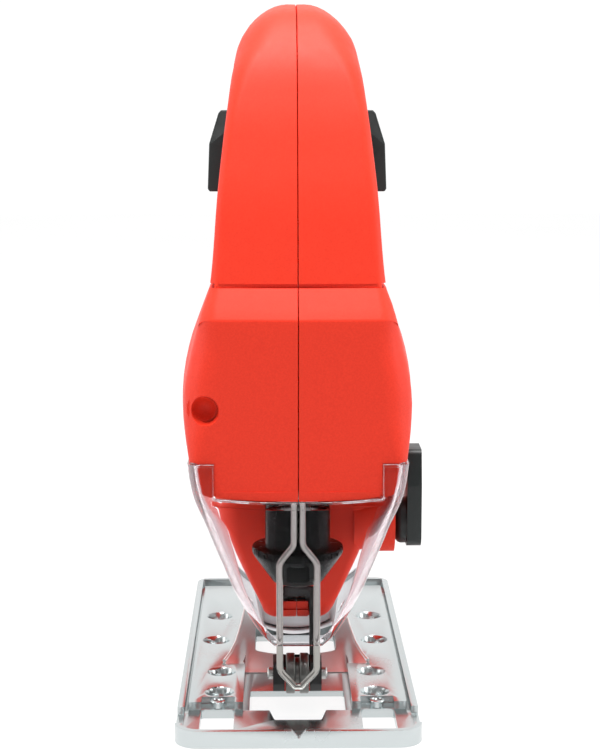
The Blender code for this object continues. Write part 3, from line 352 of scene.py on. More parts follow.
def inward_normals(points):
    out = []
    for i, p in enumerate(points):
        a = (p - points[i - 1]).normalized()
        b = (points[(i + 1) % len(points)] - p).normalized()
        t = (a + b).normalized()
        out.append(Vector((-t.y, t.x)))
    return out


def inside(points, p):
    hit = False
    for i, a in enumerate(points):
        b = points[(i + 1) % len(points)]
        if (a.y > p.y) != (b.y > p.y):
            if p.x < (b.x - a.x) * (p.y - a.y) / (b.y - a.y) + a.x:
                hit = not hit
    return hit


def circle(cx, cy, radius, segments=32, phase=0.0):
    out = []
    for k in range(segments):
        a = 2 * math.pi * k / segments + phase
        out.append(Vector((cx + radius * math.cos(a), cy + radius * math.sin(a))))
    return out


# ------------------------------------------------------------------ mesh makers
def mesh_object(name, verts, faces, mat):
    mesh = bpy.data.meshes.new(name)
    mesh.from_pydata([(v[0] * MM, v[1] * MM, v[2] * MM) for v in verts], [], faces)
    bm = bmesh.new()
    bm.from_mesh(mesh)
    bmesh.ops.recalc_face_normals(bm, faces=bm.faces)
    bm.to_mesh(mesh)
    bm.free()
    mesh.materials.append(mat)
    obj = bpy.data.objects.new(name, mesh)
    bpy.context.scene.collection.objects.link(obj)
    return obj


def place(axis, u, v, w):
    if axis == "X":
        return (w, u, v)
    if axis == "Y":
        return (u, w, v)
    return (u, v, w)


def prism(name, outline, axis, low, high, mat):
    count = len(outline)
    verts = [place(axis, p[0], p[1], low) for p in outline]
    verts += [place(axis, p[0], p[1], high) for p in outline]
    faces = [list(range(count))[::-1], list(range(count, 2 * count))]
    for i in range(count):
        j = (i + 1) % count
        faces.append([i, j, j + count, i + count])
    return mesh_object(name, verts, faces, mat)


def box(name, x, y, z, mat):
    outline = ((x[0], y[0]), (x[1], y[0]), (x[1], y[1]), (x[0], y[1]))
    return prism(name, outline, "Z", z[0], z[1], mat)


def lathe(name, profile, axis, centre, mat, segments=48, closed=False):
    verts = []
    rows = []
    for radius, height in profile:
        if radius < 1e-6:
            rows.append([len(verts)])
            verts.append(place(axis, centre[0], centre[1], height))
            continue
        row = []
        for p in circle(centre[0], centre[1], radius, segments):
            row.append(len(verts))
            verts.append(place(axis, p.x, p.y, height))
        rows.append(row)
    faces = []
    pairs = list(zip(rows, rows[1:]))
    if closed:
        pairs.append((rows[-1], rows[0]))
    for low, high in pairs:
        for k in range(segments):
            j = (k + 1) % segments
            if len(low) == 1:
                faces.append([low[0], high[j], high[k]])
            elif len(high) == 1:
                faces.append([low[k], low[j], high[0]])
            else:
                faces.append([low[k], low[j], high[j], high[k]])
    if not closed and len(rows[0]) > 1:
        faces.append(rows[0][::-1])
    if not closed and len(rows[-1]) > 1:
        faces.append(rows[-1])
    return mesh_object(name, verts, faces, mat)


def rod(name, path, radius, mat, segments=20):
    pts = [Vector(p) for p in path]
    verts = []
    faces = []
    side = None
    for i, p in enumerate(pts):
        back = (p - pts[i - 1]).normalized() if i else None
        ahead = (pts[i + 1] - p).normalized() if i < len(pts) - 1 else None
        tangent = ahead if back is None else back if ahead is None else (back + ahead).normalized()
        if side is None:
            side = tangent.orthogonal().normalized()
        side = (side - tangent * side.dot(tangent)).normalized()
        up = tangent.cross(side)
        for k in range(segments):
            a = 2 * math.pi * k / segments
            verts.append(p + side * math.cos(a) * radius + up * math.sin(a) * radius)
    for i in range(len(pts) - 1):
        for k in range(segments):
            j = (k + 1) % segments
            a = i * segments
            b = a + segments
            faces.append([a + k, a + j, b + j, b + k])
    faces.append(list(range(segments))[::-1])
    last = (len(pts) - 1) * segments
    faces.append(list(range(last, last + segments)))
    return mesh_object(name, verts, faces, mat)


def round_path(points, radius, step=9.0):
    """Open 3-D path with its corners rounded."""
    pts = [Vector(p) for p in points]
    out = [pts[0]]
    for i in range(1, len(pts) - 1):
        u = (pts[i - 1] - pts[i]).normalized()
        v = (pts[i + 1] - pts[i]).normalized()
        angle = u.angle(v)
        reach = min(radius / math.tan(angle / 2.0), 0.48 * (pts[i - 1] - pts[i]).length,
                    0.48 * (pts[i + 1] - pts[i]).length)
        r = reach * math.tan(angle / 2.0)
        centre = pts[i] + (u + v).normalized() * (r / math.sin(angle / 2.0))
        a = pts[i] + u * reach - centre
        b = pts[i] + v * reach - centre
        sweep = a.angle(b)
        parts = max(2, int(math.ceil(math.degrees(sweep) / step)))
        axis = a.cross(b).normalized()
        for k in range(parts + 1):
            out.append(centre + Matrix.Rotation(sweep * k / parts, 3, axis) @ a)
    out.append(pts[-1])
    return out


def combine(obj, tool, operation):
    """Boolean that is applied at once; the tool is removed."""
    mod = obj.modifiers.new("cut", "BOOLEAN")
    mod.operation = operation
    mod.solver = "EXACT"
    mod.object = tool
    bake(obj)
    bpy.data.objects.remove(tool, do_unlink=True)
    return obj


def bake(obj):
    bpy.context.view_layer.update()
    graph = bpy.context.evaluated_depsgraph_get()
    mesh = bpy.data.meshes.new_from_object(obj.evaluated_get(graph))
    obj.modifiers.clear()
    obj.data = mesh
    return obj


def cut(obj, *tools):
    for tool in tools:
        combine(obj, tool, "DIFFERENCE")
    return obj


def join(obj, *tools):
    for tool in tools:
        combine(obj, tool, "UNION")
    return obj


def soften(obj, angle=32.0, bevel=0.0, segments=2, limit=32.0):
    """Closes gaps, rounds edges where a bevel is given, and shades smooth with crisp edges."""
    mesh = obj.data
    bm = bmesh.new()
    bm.from_mesh(mesh)
    bmesh.ops.remove_doubles(bm, verts=bm.verts, dist=0.00001)
    bmesh.ops.dissolve_degenerate(bm, edges=bm.edges, dist=0.000005)
    gaps = [edge for edge in bm.edges if edge.is_boundary]
    if gaps:
        bmesh.ops.holes_fill(bm, edges=gaps, sides=16)
    bm.to_mesh(mesh)
    bm.free()
    for poly in mesh.polygons:
        poly.use_smooth = True
    mesh.set_sharp_from_angle(angle=math.radians(angle))
    if bevel > 0.0:
        mod = obj.modifiers.new("edges", "BEVEL")
        mod.width = bevel * MM
        mod.segments = segments
        mod.limit_method = "ANGLE"
        mod.angle_limit = math.radians(limit)
        mod.use_clamp_overlap = True
        mod.harden_normals = False
        mod.miter_outer = "MITER_ARC"
        bake(obj)
        for poly in obj.data.polygons:
            poly.use_smooth = True
        obj.data.set_sharp_from_angle(angle=math.radians(angle + 12.0))
    return obj


def stand_for(obj, body, slot, *nodes):
    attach(obj, body)
    if nodes:
        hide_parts(*nodes)
    return obj


# ------------------------------------------------------------------ housing
def half_width(z, y=0.0):
    width = smooth_table(WIDTHS, z)
    t = min(1.0, max(0.0, (-16.0 - y) / 26.0))
    t = t * t * (3 - 2 * t)
    u = min(1.0, max(0.0, (126.0 - z) / 16.0)) * (1.0 + 0.5 * min(1.0, max(0.0, (94.0 - z) / 14.0)))
    return width - 1.5 * t * u


def edge_radius(y, z):
    t = min(1.0, max(0.0, (-20.0 - y) / 15.0))
    t = t * t * (3 - 2 * t)
    return lerp_table(BODY_EDGE, z) * (1 - t) + lerp_table(FRONT_EDGE, z) * t


def inner_half_width(y, z):
    width = half_width(z, y) - WALL
    if z < 86.0:
        t = min(1.0, max(0.0, (86.0 - z) / 5.0))
        u = min(1.0, max(0.0, (4.0 - y) / 14.0))
        width = width * (1 - t * u) + min(width, 25.2) * t * u
        v = min(1.0, max(0.0, (-44.0 - y) / 2.5))
        width = width * (1 - t * v) + min(width, 20.9) * t * v
    return width


def shell_surface(points, is_opening, inner):
    normals = inward_normals(points)
    rows = []
    steps = [(-2, 0.34, 0.0), (-1, 0.07, 0.12)] if not inner else [(-1, 0.0, 0.0)]
    steps += [(k, 0.0, 0.0) for k in range(RINGS + 1)]
    for k, nudge, lift in steps:
        row = []
        for p, n in zip(points, normals):
            radius = OPENING_EDGE if is_opening else edge_radius(p.x, p.y)
            offset = nudge
            if inner:
                radius = max(radius - WALL, 1.0)
                offset = WALL
            angle = math.pi / 2 * max(k, 0) / RINGS
            d = offset + radius * (1 - math.cos(angle))
            q = p + n * d
            x = SEAM + lift
            if k >= 0:
                width = inner_half_width(q.x, q.y) if inner else half_width(q.y, q.x)
                x = max(width - radius + radius * math.sin(angle), SEAM + 0.4)
            row.append((x, q.x, q.y))
        rows.append(row)
    return rows


def fill_flank(verts, faces, outer_ids, hole_ids, inner):
    outer = [Vector(verts[i][1:]) for i in outer_ids]
    hole = [Vector(verts[i][1:]) for i in hole_ids]
    ids = list(outer_ids) + list(hole_ids)
    points = outer + hole
    edges = [(k, (k + 1) % len(outer)) for k in range(len(outer))]
    base = len(outer)
    edges += [(base + k, base + (k + 1) % len(hole)) for k in range(len(hole))]
    rings = list(points)
    rows = int(190 / STEP) + 1
    columns = int(205 / STEP) + 1
    for i in range(rows):
        for j in range(columns):
            p = Vector((-52.0 + STEP * j + (0.5 * STEP if i % 2 else 0.0), 20.0 + STEP * i))
            if not inside(outer, p) or inside(hole, p):
                continue
            if min((p - q).length_squared for q in rings) < (STEP * 0.6) ** 2:
                continue
            points.append(p)
            ids.append(len(verts))
            width = inner_half_width(p.x, p.y) if inner else half_width(p.y, p.x)
            verts.append((width, p.x, p.y))
    result = delaunay_2d_cdt(points, edges, [], 0, 1e-5)
    coords = result[0]
    origin = result[3]
    for tri in result[2]:
        mid = (coords[tri[0]] + coords[tri[1]] + coords[tri[2]]) / 3.0
        if not inside(outer, mid) or inside(hole, mid):
            continue
        if all(origin[k] for k in tri):
            faces.append([ids[origin[k][0]] for k in tri])


def bow(x, y):
    """The housing's front is gently convex from side to side."""
    t = min(1.0, max(0.0, (-38.0 - y) / 8.0))
    return y + 1.3 * t * t * (3 - 2 * t) * min(1.0, (x / 30.0) ** 2)


def shell_half(name, side, mat):
    outer = resample(fillet(OUTLINE), STEP)
    if signed_area(outer) < 0:
        outer.reverse()
    hole = resample(fillet(OPENING), STEP)
    if signed_area(hole) > 0:
        hole.reverse()
    verts = []
    faces = []
    ends = {}
    seam_rows = {}
    for inner in (False, True):
        for tag, points in (("outer", outer), ("hole", hole)):
            index_rows = []
            for row in shell_surface(points, tag == "hole", inner):
                index_rows.append(list(range(len(verts), len(verts) + len(row))))
                verts.extend(row)
            for low, high in zip(index_rows, index_rows[1:]):
                for k in range(len(low)):
                    j = (k + 1) % len(low)
                    faces.append([low[k], low[j], high[j], high[k]])
            ends[(inner, tag)] = index_rows[-1]
            seam_rows[(inner, tag)] = index_rows[0]
    for tag in ("outer", "hole"):
        low = seam_rows[(False, tag)]
        high = seam_rows[(True, tag)]
        for k in range(len(low)):
            j = (k + 1) % len(low)
            faces.append([low[k], low[j], high[j], high[k]])
    for inner in (False, True):
        fill_flank(verts, faces, ends[(inner, "outer")], ends[(inner, "hole")], inner)
    return mesh_object(name, [(side * v[0], bow(v[0], v[1]), v[2]) for v in verts], faces, mat)


def shield_section(z, inset, grow, back, arcs=5):
    """Outline of the shield's wall at one height, a U open to the back; `back` sets its depth, else the
    table's depth is used.
    """
    half = smooth_table(SHIELD, z)
    front = SHIELD_FRONT
    if back is None:
        back = smooth_table(SHIELD_BACK, z)
    corner = smooth_table(SHIELD_CORNER, z)
    corner = min(corner, half * 0.8, max(back - front - 0.6, 0.5))
    points = []
    for offset in (-grow, inset):
        path = []
        w = half - offset
        f = front + offset
        r = max(corner - offset, 0.4)
        path.append((-w, back))
        for k in range(arcs):
            a = math.pi + math.pi / 2 * k / (arcs - 1)
            path.append((-w + r + r * math.cos(a), f + r + r * math.sin(a)))
        for k in range(arcs):
            a = 1.5 * math.pi + math.pi / 2 * k / (arcs - 1)
            path.append((w - r + r * math.cos(a), f + r + r * math.sin(a)))
        path.append((w, back))
        if offset == inset:
            path.reverse()
        points.extend(path)
    return points


def shield_loft(name, heights, inset, grow, back, mat, arcs=5):
    verts = []
    rows = []
    for z in heights:
        section = shield_section(z, inset, grow, back, arcs)
        rows.append(list(range(len(verts), len(verts) + len(section))))
        verts.extend((p[0], p[1], z) for p in section)
    faces = []
    for low, high in zip(rows, rows[1:]):
        for k in range(len(low)):
            j = (k + 1) % len(low)
            faces.append([low[k], low[j], high[j], high[k]])
    half = len(rows[0]) // 2
    for row, flip in ((rows[0], True), (rows[-1], False)):
        for k in range(half - 1):
            quad = [row[k], row[k + 1], row[-2 - k], row[-1 - k]]
            faces.append(quad[::-1] if flip else quad)
    return mesh_object(name, verts, faces, mat)


def droop(reach, top):
    """Lower edge of the housing's front tongue, sagging a little in the middle."""
    points = []
    for k in range(25):
        x = -reach + 2 * reach * k / 24
        points.append((x, top - TONGUE_SAG * (1.0 - (x / reach) ** 2)))
    return points


def make_housing():
    red = MATS["housing_red"]
    halves = {
        1.0: shell_half("housing_shell_left", 1.0, red),
        -1.0: shell_half("housing_shell_right", -1.0, red),
    }
    for side, obj in halves.items():
        for k, (y, z) in enumerate(SCREWS):
            low, high = sorted((side * SEAM, side * (half_width(z, y) - 1.2)))
            join(obj, prism("boss", circle(y, z, 4.6, 20), "X", low, high, red))
        for k, (y, z) in enumerate(SCREWS):
            if side > 0:
                cut(obj, prism("bore", circle(y, z, 1.9, 16), "X", -1.0, 9.0, red))
            else:
                wide = half_width(z, y)
                profile = (
                    (1.9, 1.0), (1.9, -11.0), (3.8, -11.0), (3.8, -wide + 0.7), (4.5, -wide - 0.2),
                    (4.5, -50.0),
                )
                cut(obj, lathe("bore", profile, "X", (y, z), red, 28))
    left = halves[1.0]
    right = halves[-1.0]
    join(left, prism("boss", circle(LEVER_PIVOT[0], LEVER_PIVOT[1], 9.5, 48), "X", 17.0, 29.3, red))
    cut(left, prism("bore", circle(LEVER_PIVOT[0], LEVER_PIVOT[1], 3.9, 24), "X", 10.0, 35.0, red))
    join(right, prism("boss", circle(-25.6, 94.3, 5.4, 24), "Y", -46.4, -34.0, red))
    dimple = (
        (5.2, -52.0), (4.4, -50.6), (4.2, -50.0), (4.0, -48.4), (3.4, -46.6), (2.4, -45.2),
        (1.2, -44.5), (0.0, -44.3),
    )
    cut(right, lathe("recess", dimple, "Y", (-26.1, 94.3), red, 48))
    for side, obj in halves.items():
        ears = shield_loft("ears", (58.0, 64.0, 68.0, 71.0, 74.0, 77.0, 79.6), 2.6, 14.0, -20.2, red)
        cut(ears, box("tongue", (-23.3, 23.3), (-90.0, -40.0), (50.0, 90.0), red))
        low, high = sorted((side * 23.1, side * 40.0))
        wlow, whigh = sorted((side * 9.0, side * 40.0))
        ylow, yhigh = BUTTON_Y[0] - BUTTON_GAP, BUTTON_Y[1] + BUTTON_GAP
        zlow, zhigh = BUTTON_Z[0] - BUTTON_GAP, BUTTON_Z[1] + BUTTON_GAP
        window = ((ylow, zlow, 2.0), (yhigh, zlow, 2.0), (yhigh, zhigh, 2.0), (ylow, zhigh, 2.0))
        cut(
            obj,
            ears,
            prism("hole", circle(0.0, PLUNGER_Y, 7.6, 32), "Z", 66.0, 74.0, red),
            box("guard", (-2.6, 2.6), (-48.0, -45.3), (66.0, 77.0), red),
            box("window", (-4.2, 4.2), (-20.0, -14.0), (27.4, 35.6), red),
            box("arm", (3.4, 5.7), (-20.0, -9.0), (20.0, 35.6), red),
            box("trigger", (-7.8, 7.8), (14.6, 43.6), (160.0, 177.5), red),
            prism("gland", circle(0.0, GLAND_Z, 6.4, 40), "Y", 140.0, 160.0, red),
            box("groove", (-40.0, 40.0), (-60.0, -44.6), (127.8, 129.0), red),
            box("groove", (low, high), (-60.0, -7.0), (127.7, 129.1), red),
            prism("window", fillet(window), "X", wlow, whigh, red),
        )
        edge = [(side * SEAM, 68.9)]
        edge += [(x, z + 0.1) for x, z in droop(22.9, TONGUE_BOTTOM) if side * x > SEAM]
        edge.sort()
        lip = prism("lip", edge + [(x, 71.6) for x, z in reversed(edge)], "Y", -50.98, -49.3, red)
        for vert in lip.data.vertices:
            vert.co.y = bow(vert.co.x / MM, vert.co.y / MM) * MM
        join(obj, lip)
        for k in range(VENTS):
            y = 102.0 + VENT_PITCH * k
            vlow, vhigh = sorted((side * 26.0, side * 40.0))
            slot = ((y, 76.0, 1.29), (y + 2.6, 76.0, 1.29), (y + 2.6, 104.0, 1.29), (y, 104.0, 1.29))
            cut(obj, prism("vent", fillet(slot, 30.0), "X", vlow, vhigh, red))
        soften(obj, 28.0)
    stand_for(left, "housing", "housing_red", "left_housing")
    stand_for(right, "housing", "housing_red", "right_housing")


def make_screws():
    steel = MATS["steel"]
    profile = (
        (1.6, 8.0), (1.6, -11.2), (3.4, -11.2), (3.4, -12.3), (3.1, -13.0), (2.3, -13.5), (0.0, -13.8),
    )
    for k, (y, z) in enumerate(SCREWS):
        screw = lathe("clamshell_screw_%d" % (k + 1), profile, "X", (y, z), steel, 32)
        for turn in (0.3, 0.3 + math.pi / 2):
            c = math.cos(turn)
            s = math.sin(turn)
            corners = []
            for u, v in ((-1.7, -0.35), (1.7, -0.35), (1.7, 0.35), (-1.7, 0.35)):
                corners.append((y + u * c - v * s, z + u * s + v * c))
            cut(screw, prism("cross", corners, "X", -20.0, -12.4, steel))
        soften(screw, 32.0)
        stand_for(screw, "housing", "steel", "housing_screw_%d" % (k + 1))


# ------------------------------------------------------------------ shield, guard and blade clamp
def make_shield():
    glass = MATS["clear_plastic"]
    heights = [27.5, 28.1, 29.0, 30.0, 31.0]
    heights += [31.0 + (SHIELD_TOP - 31.0) * k / 48 for k in range(1, 49)]
    shield = shield_loft("shield_shell", heights, SHIELD_WALL, 0.0, None, glass, 16)
    notch = [(23.6, 90.0), (-23.6, 90.0)] + droop(23.6, 69.6)
    cut(shield, prism("notch", notch, "Y", -60.0, -40.0, glass))
    strip = droop(23.4, 69.5)
    strip += [(x, z - 1.5) for x, z in reversed(strip)]
    join(shield, prism("strip", strip, "Y", -52.7, -50.6, glass))
    for side in (-1.0, 1.0):
        low, high = sorted((side * 23.8, side * 24.8))
        join(shield, box("rib", (low, high), (-52.2, -50.4), (69.4, 78.4), glass))
        low, high = sorted((side * 23.8, side * 28.2))
        join(shield, box("rib", (low, high), (-52.2, -50.4), (77.6, 78.8), glass))
    soften(shield, 30.0, 0.3, 2, 40.0)
    stand_for(shield, "shield", "clear_plastic", "chip_shield")


def make_guard():
    y = GUARD_Y
    path = [(1.15, y, 76.0), (1.15, y, 55.6), (5.25, y, 50.4), (5.25, y, 18.7), (0.9, y, 14.1)]
    left = round_path(path, 3.2)
    full = left + [Vector((-p.x, p.y, p.z)) for p in reversed(left)]
    wire = rod("finger_guard_wire", full, 0.95, MATS["guard_wire"], 24)
    soften(wire, 50.0)
    stand_for(wire, "housing", "plated_steel", "wire_guard")


def make_clamp():
    centre = (0.0, PLUNGER_Y)
    steel = MATS["steel"]
    ring = ((4.3, 41.2), (4.5, 41.0), (5.7, 41.0), (5.9, 41.2), (5.9, 66.0), (4.3, 66.0))
    body = lathe("clamp_sleeve", ring, "Z", centre, steel, 48, True)
    soften(body, 30.0)
    stand_for(body, "plunger_set", "steel", "clamp_body")
    black = MATS["gloss_black"]
    ring = ((6.2, 41.4), (6.9, 41.4), (7.4, 41.8), (12.2, 48.6), (12.9, 49.7), (13.2, 50.4), (13.2, 51.5),
            (13.0, 51.9), (9.9, 52.2), (9.4, 52.7), (9.4, 64.1), (9.2, 64.4), (8.6, 64.4), (8.4, 64.1),
            (8.4, 60.3), (6.2, 60.3))
    collar = lathe("clamp_ring", ring, "Z", centre, black, 120, True)
    ribs = []
    for k in range(COLLAR_RIBS):
        a = 2 * math.pi * (k + 0.5) / COLLAR_RIBS
        x = 13.65 * math.cos(a)
        y = PLUNGER_Y + 13.65 * math.sin(a)
        ribs.append(prism("groove", circle(x, y, 0.62, 12), "Z", 49.0, 54.0, black))
    cut(collar, *ribs)
    boss = ((-3.2, 44.0, 1.0), (3.2, 44.0, 1.0), (3.2, 48.6, 1.0), (-3.2, 48.6, 1.0))
    tool = prism("boss", fillet(boss), "Y", PLUNGER_Y - 12.0, PLUNGER_Y - 7.2, black)
    join(collar, tool)
    soften(collar, 30.0, 0.15, 2)
    stand_for(collar, "collar", "black_plastic", "clamp_collar")
    ring = ((6.2, 60.8), (6.4, 60.6), (7.7, 60.6), (8.0, 60.9), (8.0, 63.2), (7.6, 63.6), (6.5, 63.6),
            (6.2, 63.3))
    cap = lathe("clamp_crown", ring, "Z", centre, MATS["dark_steel"], 48, True)
    soften(cap, 30.0)
    stand_for(cap, "plunger_set", "dark_steel", "clamp_cap")


# ------------------------------------------------------------------ pendulum and roller
def make_pendulum():
    dark = MATS["dark_steel"]
    cup = ((-27.6, 8.2, 1.0), (-25.6, 5.2, 1.6), (-21.6, 5.2, 1.6), (-16.0, 8.6, 1.2), (-16.0, 13.6, 1.2),
           (-21.0, 15.4, 1.6), (-26.2, 14.6, 1.6), (-27.6, 12.8, 1.0))
    fork = prism("pendulum_lever", fillet(cup), "X", -7.2, 7.2, dark)
    cut(fork, box("gap", (-3.8, 3.8), (-40.0, -17.6), (0.0, 20.0), dark))
    arm = ((-23.0, 12.0, 1.0), (-17.6, 9.4, 1.0), (-10.4, 26.6, 4.0), (-9.6, 34.6, 0.8), (-15.0, 34.6, 0.8),
           (-15.8, 29.0, 4.0))
    join(fork, prism("arm", fillet(arm), "X", 3.8, 5.2, dark))
    join(fork, box("head", (-4.0, 5.2), (-15.0, -10.0), (31.8, 34.6), dark))
    for low, high in ((-4.0, -2.7), (2.7, 5.2)):
        join(fork, prism("lug", circle(FORK_PIVOT[0], FORK_PIVOT[1], 2.7, 32), "X", low, high, dark))
    join(fork, box("tail", (-3.0, 3.0), (-12.4, -9.8), (34.0, 46.0), dark))
    cut(
        fork,
        prism("hole", circle(ROLLER[0], ROLLER[1], 2.1, 32), "X", -10.0, 10.0, dark),
        prism("hole", circle(FORK_PIVOT[0], FORK_PIVOT[1], 1.7, 24), "X", -10.0, 10.0, dark),
    )
    soften(fork, 30.0, 0.3, 2)
    stand_for(fork, "pendulum", "dark_steel", "pendulum_fork")
    steel = MATS["steel"]
    profile = ((0.0, -8.9), (1.4, -8.9), (1.8, -8.5), (1.8, 8.5), (1.4, 8.9), (0.0, 8.9))
    pin = lathe("roller_axle", profile, "X", ROLLER, steel, 32)
    soften(pin, 30.0)
    stand_for(pin, "pendulum", "steel", "roller_pin")
    ring = ((2.1, -3.45), (5.3, -3.45), (5.8, -3.3), (6.0, -2.95), (6.0, -0.95), (5.8, -0.75), (4.9, -0.75),
            (4.7, -0.6), (4.7, 0.6), (4.9, 0.75), (5.8, 0.75), (6.0, 0.95), (6.0, 2.95), (5.8, 3.3),
            (5.3, 3.45), (2.1, 3.45))
    roller = lathe("blade_roller", ring, "X", ROLLER, MATS["oiled_steel"], 64, True)
    soften(roller, 30.0)
    stand_for(roller, "roller", "steel", "guide_roller")


# ------------------------------------------------------------------ selector, buttons, trigger, gland
def make_selector():
    black = MATS["black_plastic"]
    y, z = LEVER_PIVOT
    corners = ((y - 8.0, 47.0, 4.0), (y + 8.0, 47.0, 4.0), (y + 8.0, 66.0, 3.0), (y + 6.0, 76.6, 2.0),
               (y - 6.0, 76.6, 2.0), (y - 8.0, 66.0, 3.0))
    lever = prism("selector_knob", fillet(corners), "X", 32.9, 37.2, black)
    profile = ((5.2, 29.7), (6.0, 29.9), (6.7, 30.5), (7.0, 31.3), (7.0, 33.4))
    join(lever, lathe("hub", profile, "X", (y, z), black, 48))
    join(lever, prism("shaft", circle(y, z, 3.5, 32), "X", 9.0, 30.0, black))
    soften(lever, 30.0, 1.1, 4, 50.0)
    stand_for(lever, "selector", "black_plastic", "orbital_lever")


def make_buttons():
    black = MATS["black_plastic"]
    for name, side, node in (
        ("lock_pad_left", 1.0, "lock_button_left"),
        ("lock_pad_right", -1.0, "lock_button_right"),
    ):
        shape = ((14.5, 153.5, 0.4), (25.0, 153.5, 0.6), (25.5, 154.3, 0.5), (25.0, 167.0, 1.0),
                 (22.4, 175.6, 1.0), (21.6, 176.5, 0.6), (13.0, 176.5, 0.4))
        outline = fillet(tuple((side * x, z, r) for x, z, r in shape))
        pad = prism(name, outline, "Y", BUTTON_Y[0], BUTTON_Y[1], black)
        slope = ((-30.0, 167.0), (BUTTON_Y[0], 167.0), (BUTTON_Y[0] + 2.6, 178.0), (-30.0, 178.0))
        cut(pad, prism("slope", slope, "X", -40.0, 40.0, black))
        soften(pad, 20.0, 0.6, 3, 24.0)
        stand_for(pad, "left_button" if side > 0 else "right_button", "black_plastic", node)


def make_trigger():
    black = MATS["black_plastic"]
    corners = ((16.0, 168.0, 2.0), (20.0, 163.0, 4.0), (30.0, 160.4, 8.0), (42.0, 166.0, 3.0),
               (42.0, 179.5, 1.5), (15.6, 182.0, 1.5))
    trigger = prism("trigger_lever", fillet(corners), "X", -7.2, 7.2, black)
    soften(trigger, 30.0, 1.2, 4, 40.0)
    stand_for(trigger, "trigger_body", "black_plastic", "trigger")


def make_gland():
    rubber = MATS["rubber"]
    ring = [(3.2, 140.0), (8.2, 140.0), (8.4, 140.2), (8.4, 144.8), (8.2, 145.0), (6.0, 145.0)]
    for k in range(5):
        y = 149.8 + 1.35 * k
        radius = 6.0 - 0.16 * k
        ring += [(radius, y), (radius - 0.5, y + 0.25), (radius - 0.5, y + 0.6), (radius - 0.1, y + 0.85)]
    ring += [(5.2, 157.6), (4.9, 158.0), (3.5, 158.0), (3.2, 157.7)]
    gland = lathe("cord_bush", ring, "Y", (0.0, GLAND_Z), rubber, 48, True)
    soften(gland, 35.0)
    stand_for(gland, "housing", "rubber", "cord_gland")


# ------------------------------------------------------------------ sole
SEAT_STATIONS = (
    (2.0, 22.2, 5.8), (5.5, 21.2, 6.2), (8.0, 20.4, 6.6), (16.0, 18.8, 7.6), (28.0, 17.5, 9.0),
    (42.0, 16.4, 10.6), (70.5, 16.4, 10.6),
)


def seat_loft(name, pocket, mat):
    stations = SEAT_STATIONS
    low = TILT_Z - SEAT_R
    cells = 40
    rows = []
    verts = []
    ys = []
    for (a, ea, ta), (b, eb, tb) in zip(stations, stations[1:]):
        parts = max(1, int((b - a) / 3.0))
        for k in range(parts):
            ys.append((a + (b - a) * k / parts, ea + (eb - ea) * k / parts, ta + (tb - ta) * k / parts))
    ys.append(stations[-1])
    for y, edge, top in ys:
        rise = top - low
        radius = (edge * edge + rise * rise) / (2.0 * rise)
        reach = math.asin(edge / radius)
        grown = radius + SEAT_THICK + (0.3 if pocket else 0.0)
        section = []
        lower = []
        upper = radius + 0.9 * max(0.0, (5.5 - y) / 3.5)
        for k in range(cells + 1):
            a = -reach + 2 * reach * k / cells
            x = upper * math.sin(a)
            ramp = 0.0
            if not pocket:
                ramp = max(0.0, (22.0 - y) / 20.0) * min(1.0, max(0.0, (17.6 - abs(x)) / 1.5))
            z = low + radius - upper * math.cos(a)
            section.append((x, z - ramp * (z - 2.05)))
            z = low + radius - grown * math.cos(a)
            lower.append((-grown * math.sin(a), z - ramp * max(0.0, z - 1.86)))
        if pocket:
            edge_x = lower[0][0] + 0.1
            section = [(-edge_x + 2 * edge_x * k / cells, 14.0) for k in range(cells + 1)]
        rows.append(list(range(len(verts), len(verts) + 2 * cells + 2)))
        depth = y
        if pocket and y == ys[0][0]:
            depth = y - 0.3
        if pocket and y == ys[-1][0]:
            depth = y + 0.3
        verts.extend((p[0], depth, p[1]) for p in section + lower)
    count = 2 * cells + 2
    faces = []
    for first, second in zip(rows, rows[1:]):
        for k in range(count):
            j = (k + 1) % count
            faces.append([first[k], first[j], second[j], second[k]])
    for row, flip in ((rows[0], True), (rows[-1], False)):
        for k in range(cells):
            quad = [row[k], row[k + 1], row[2 * cells - k], row[2 * cells + 1 - k]]
            faces.append(quad[::-1] if flip else quad)
    return mesh_object(name, verts, faces, mat)


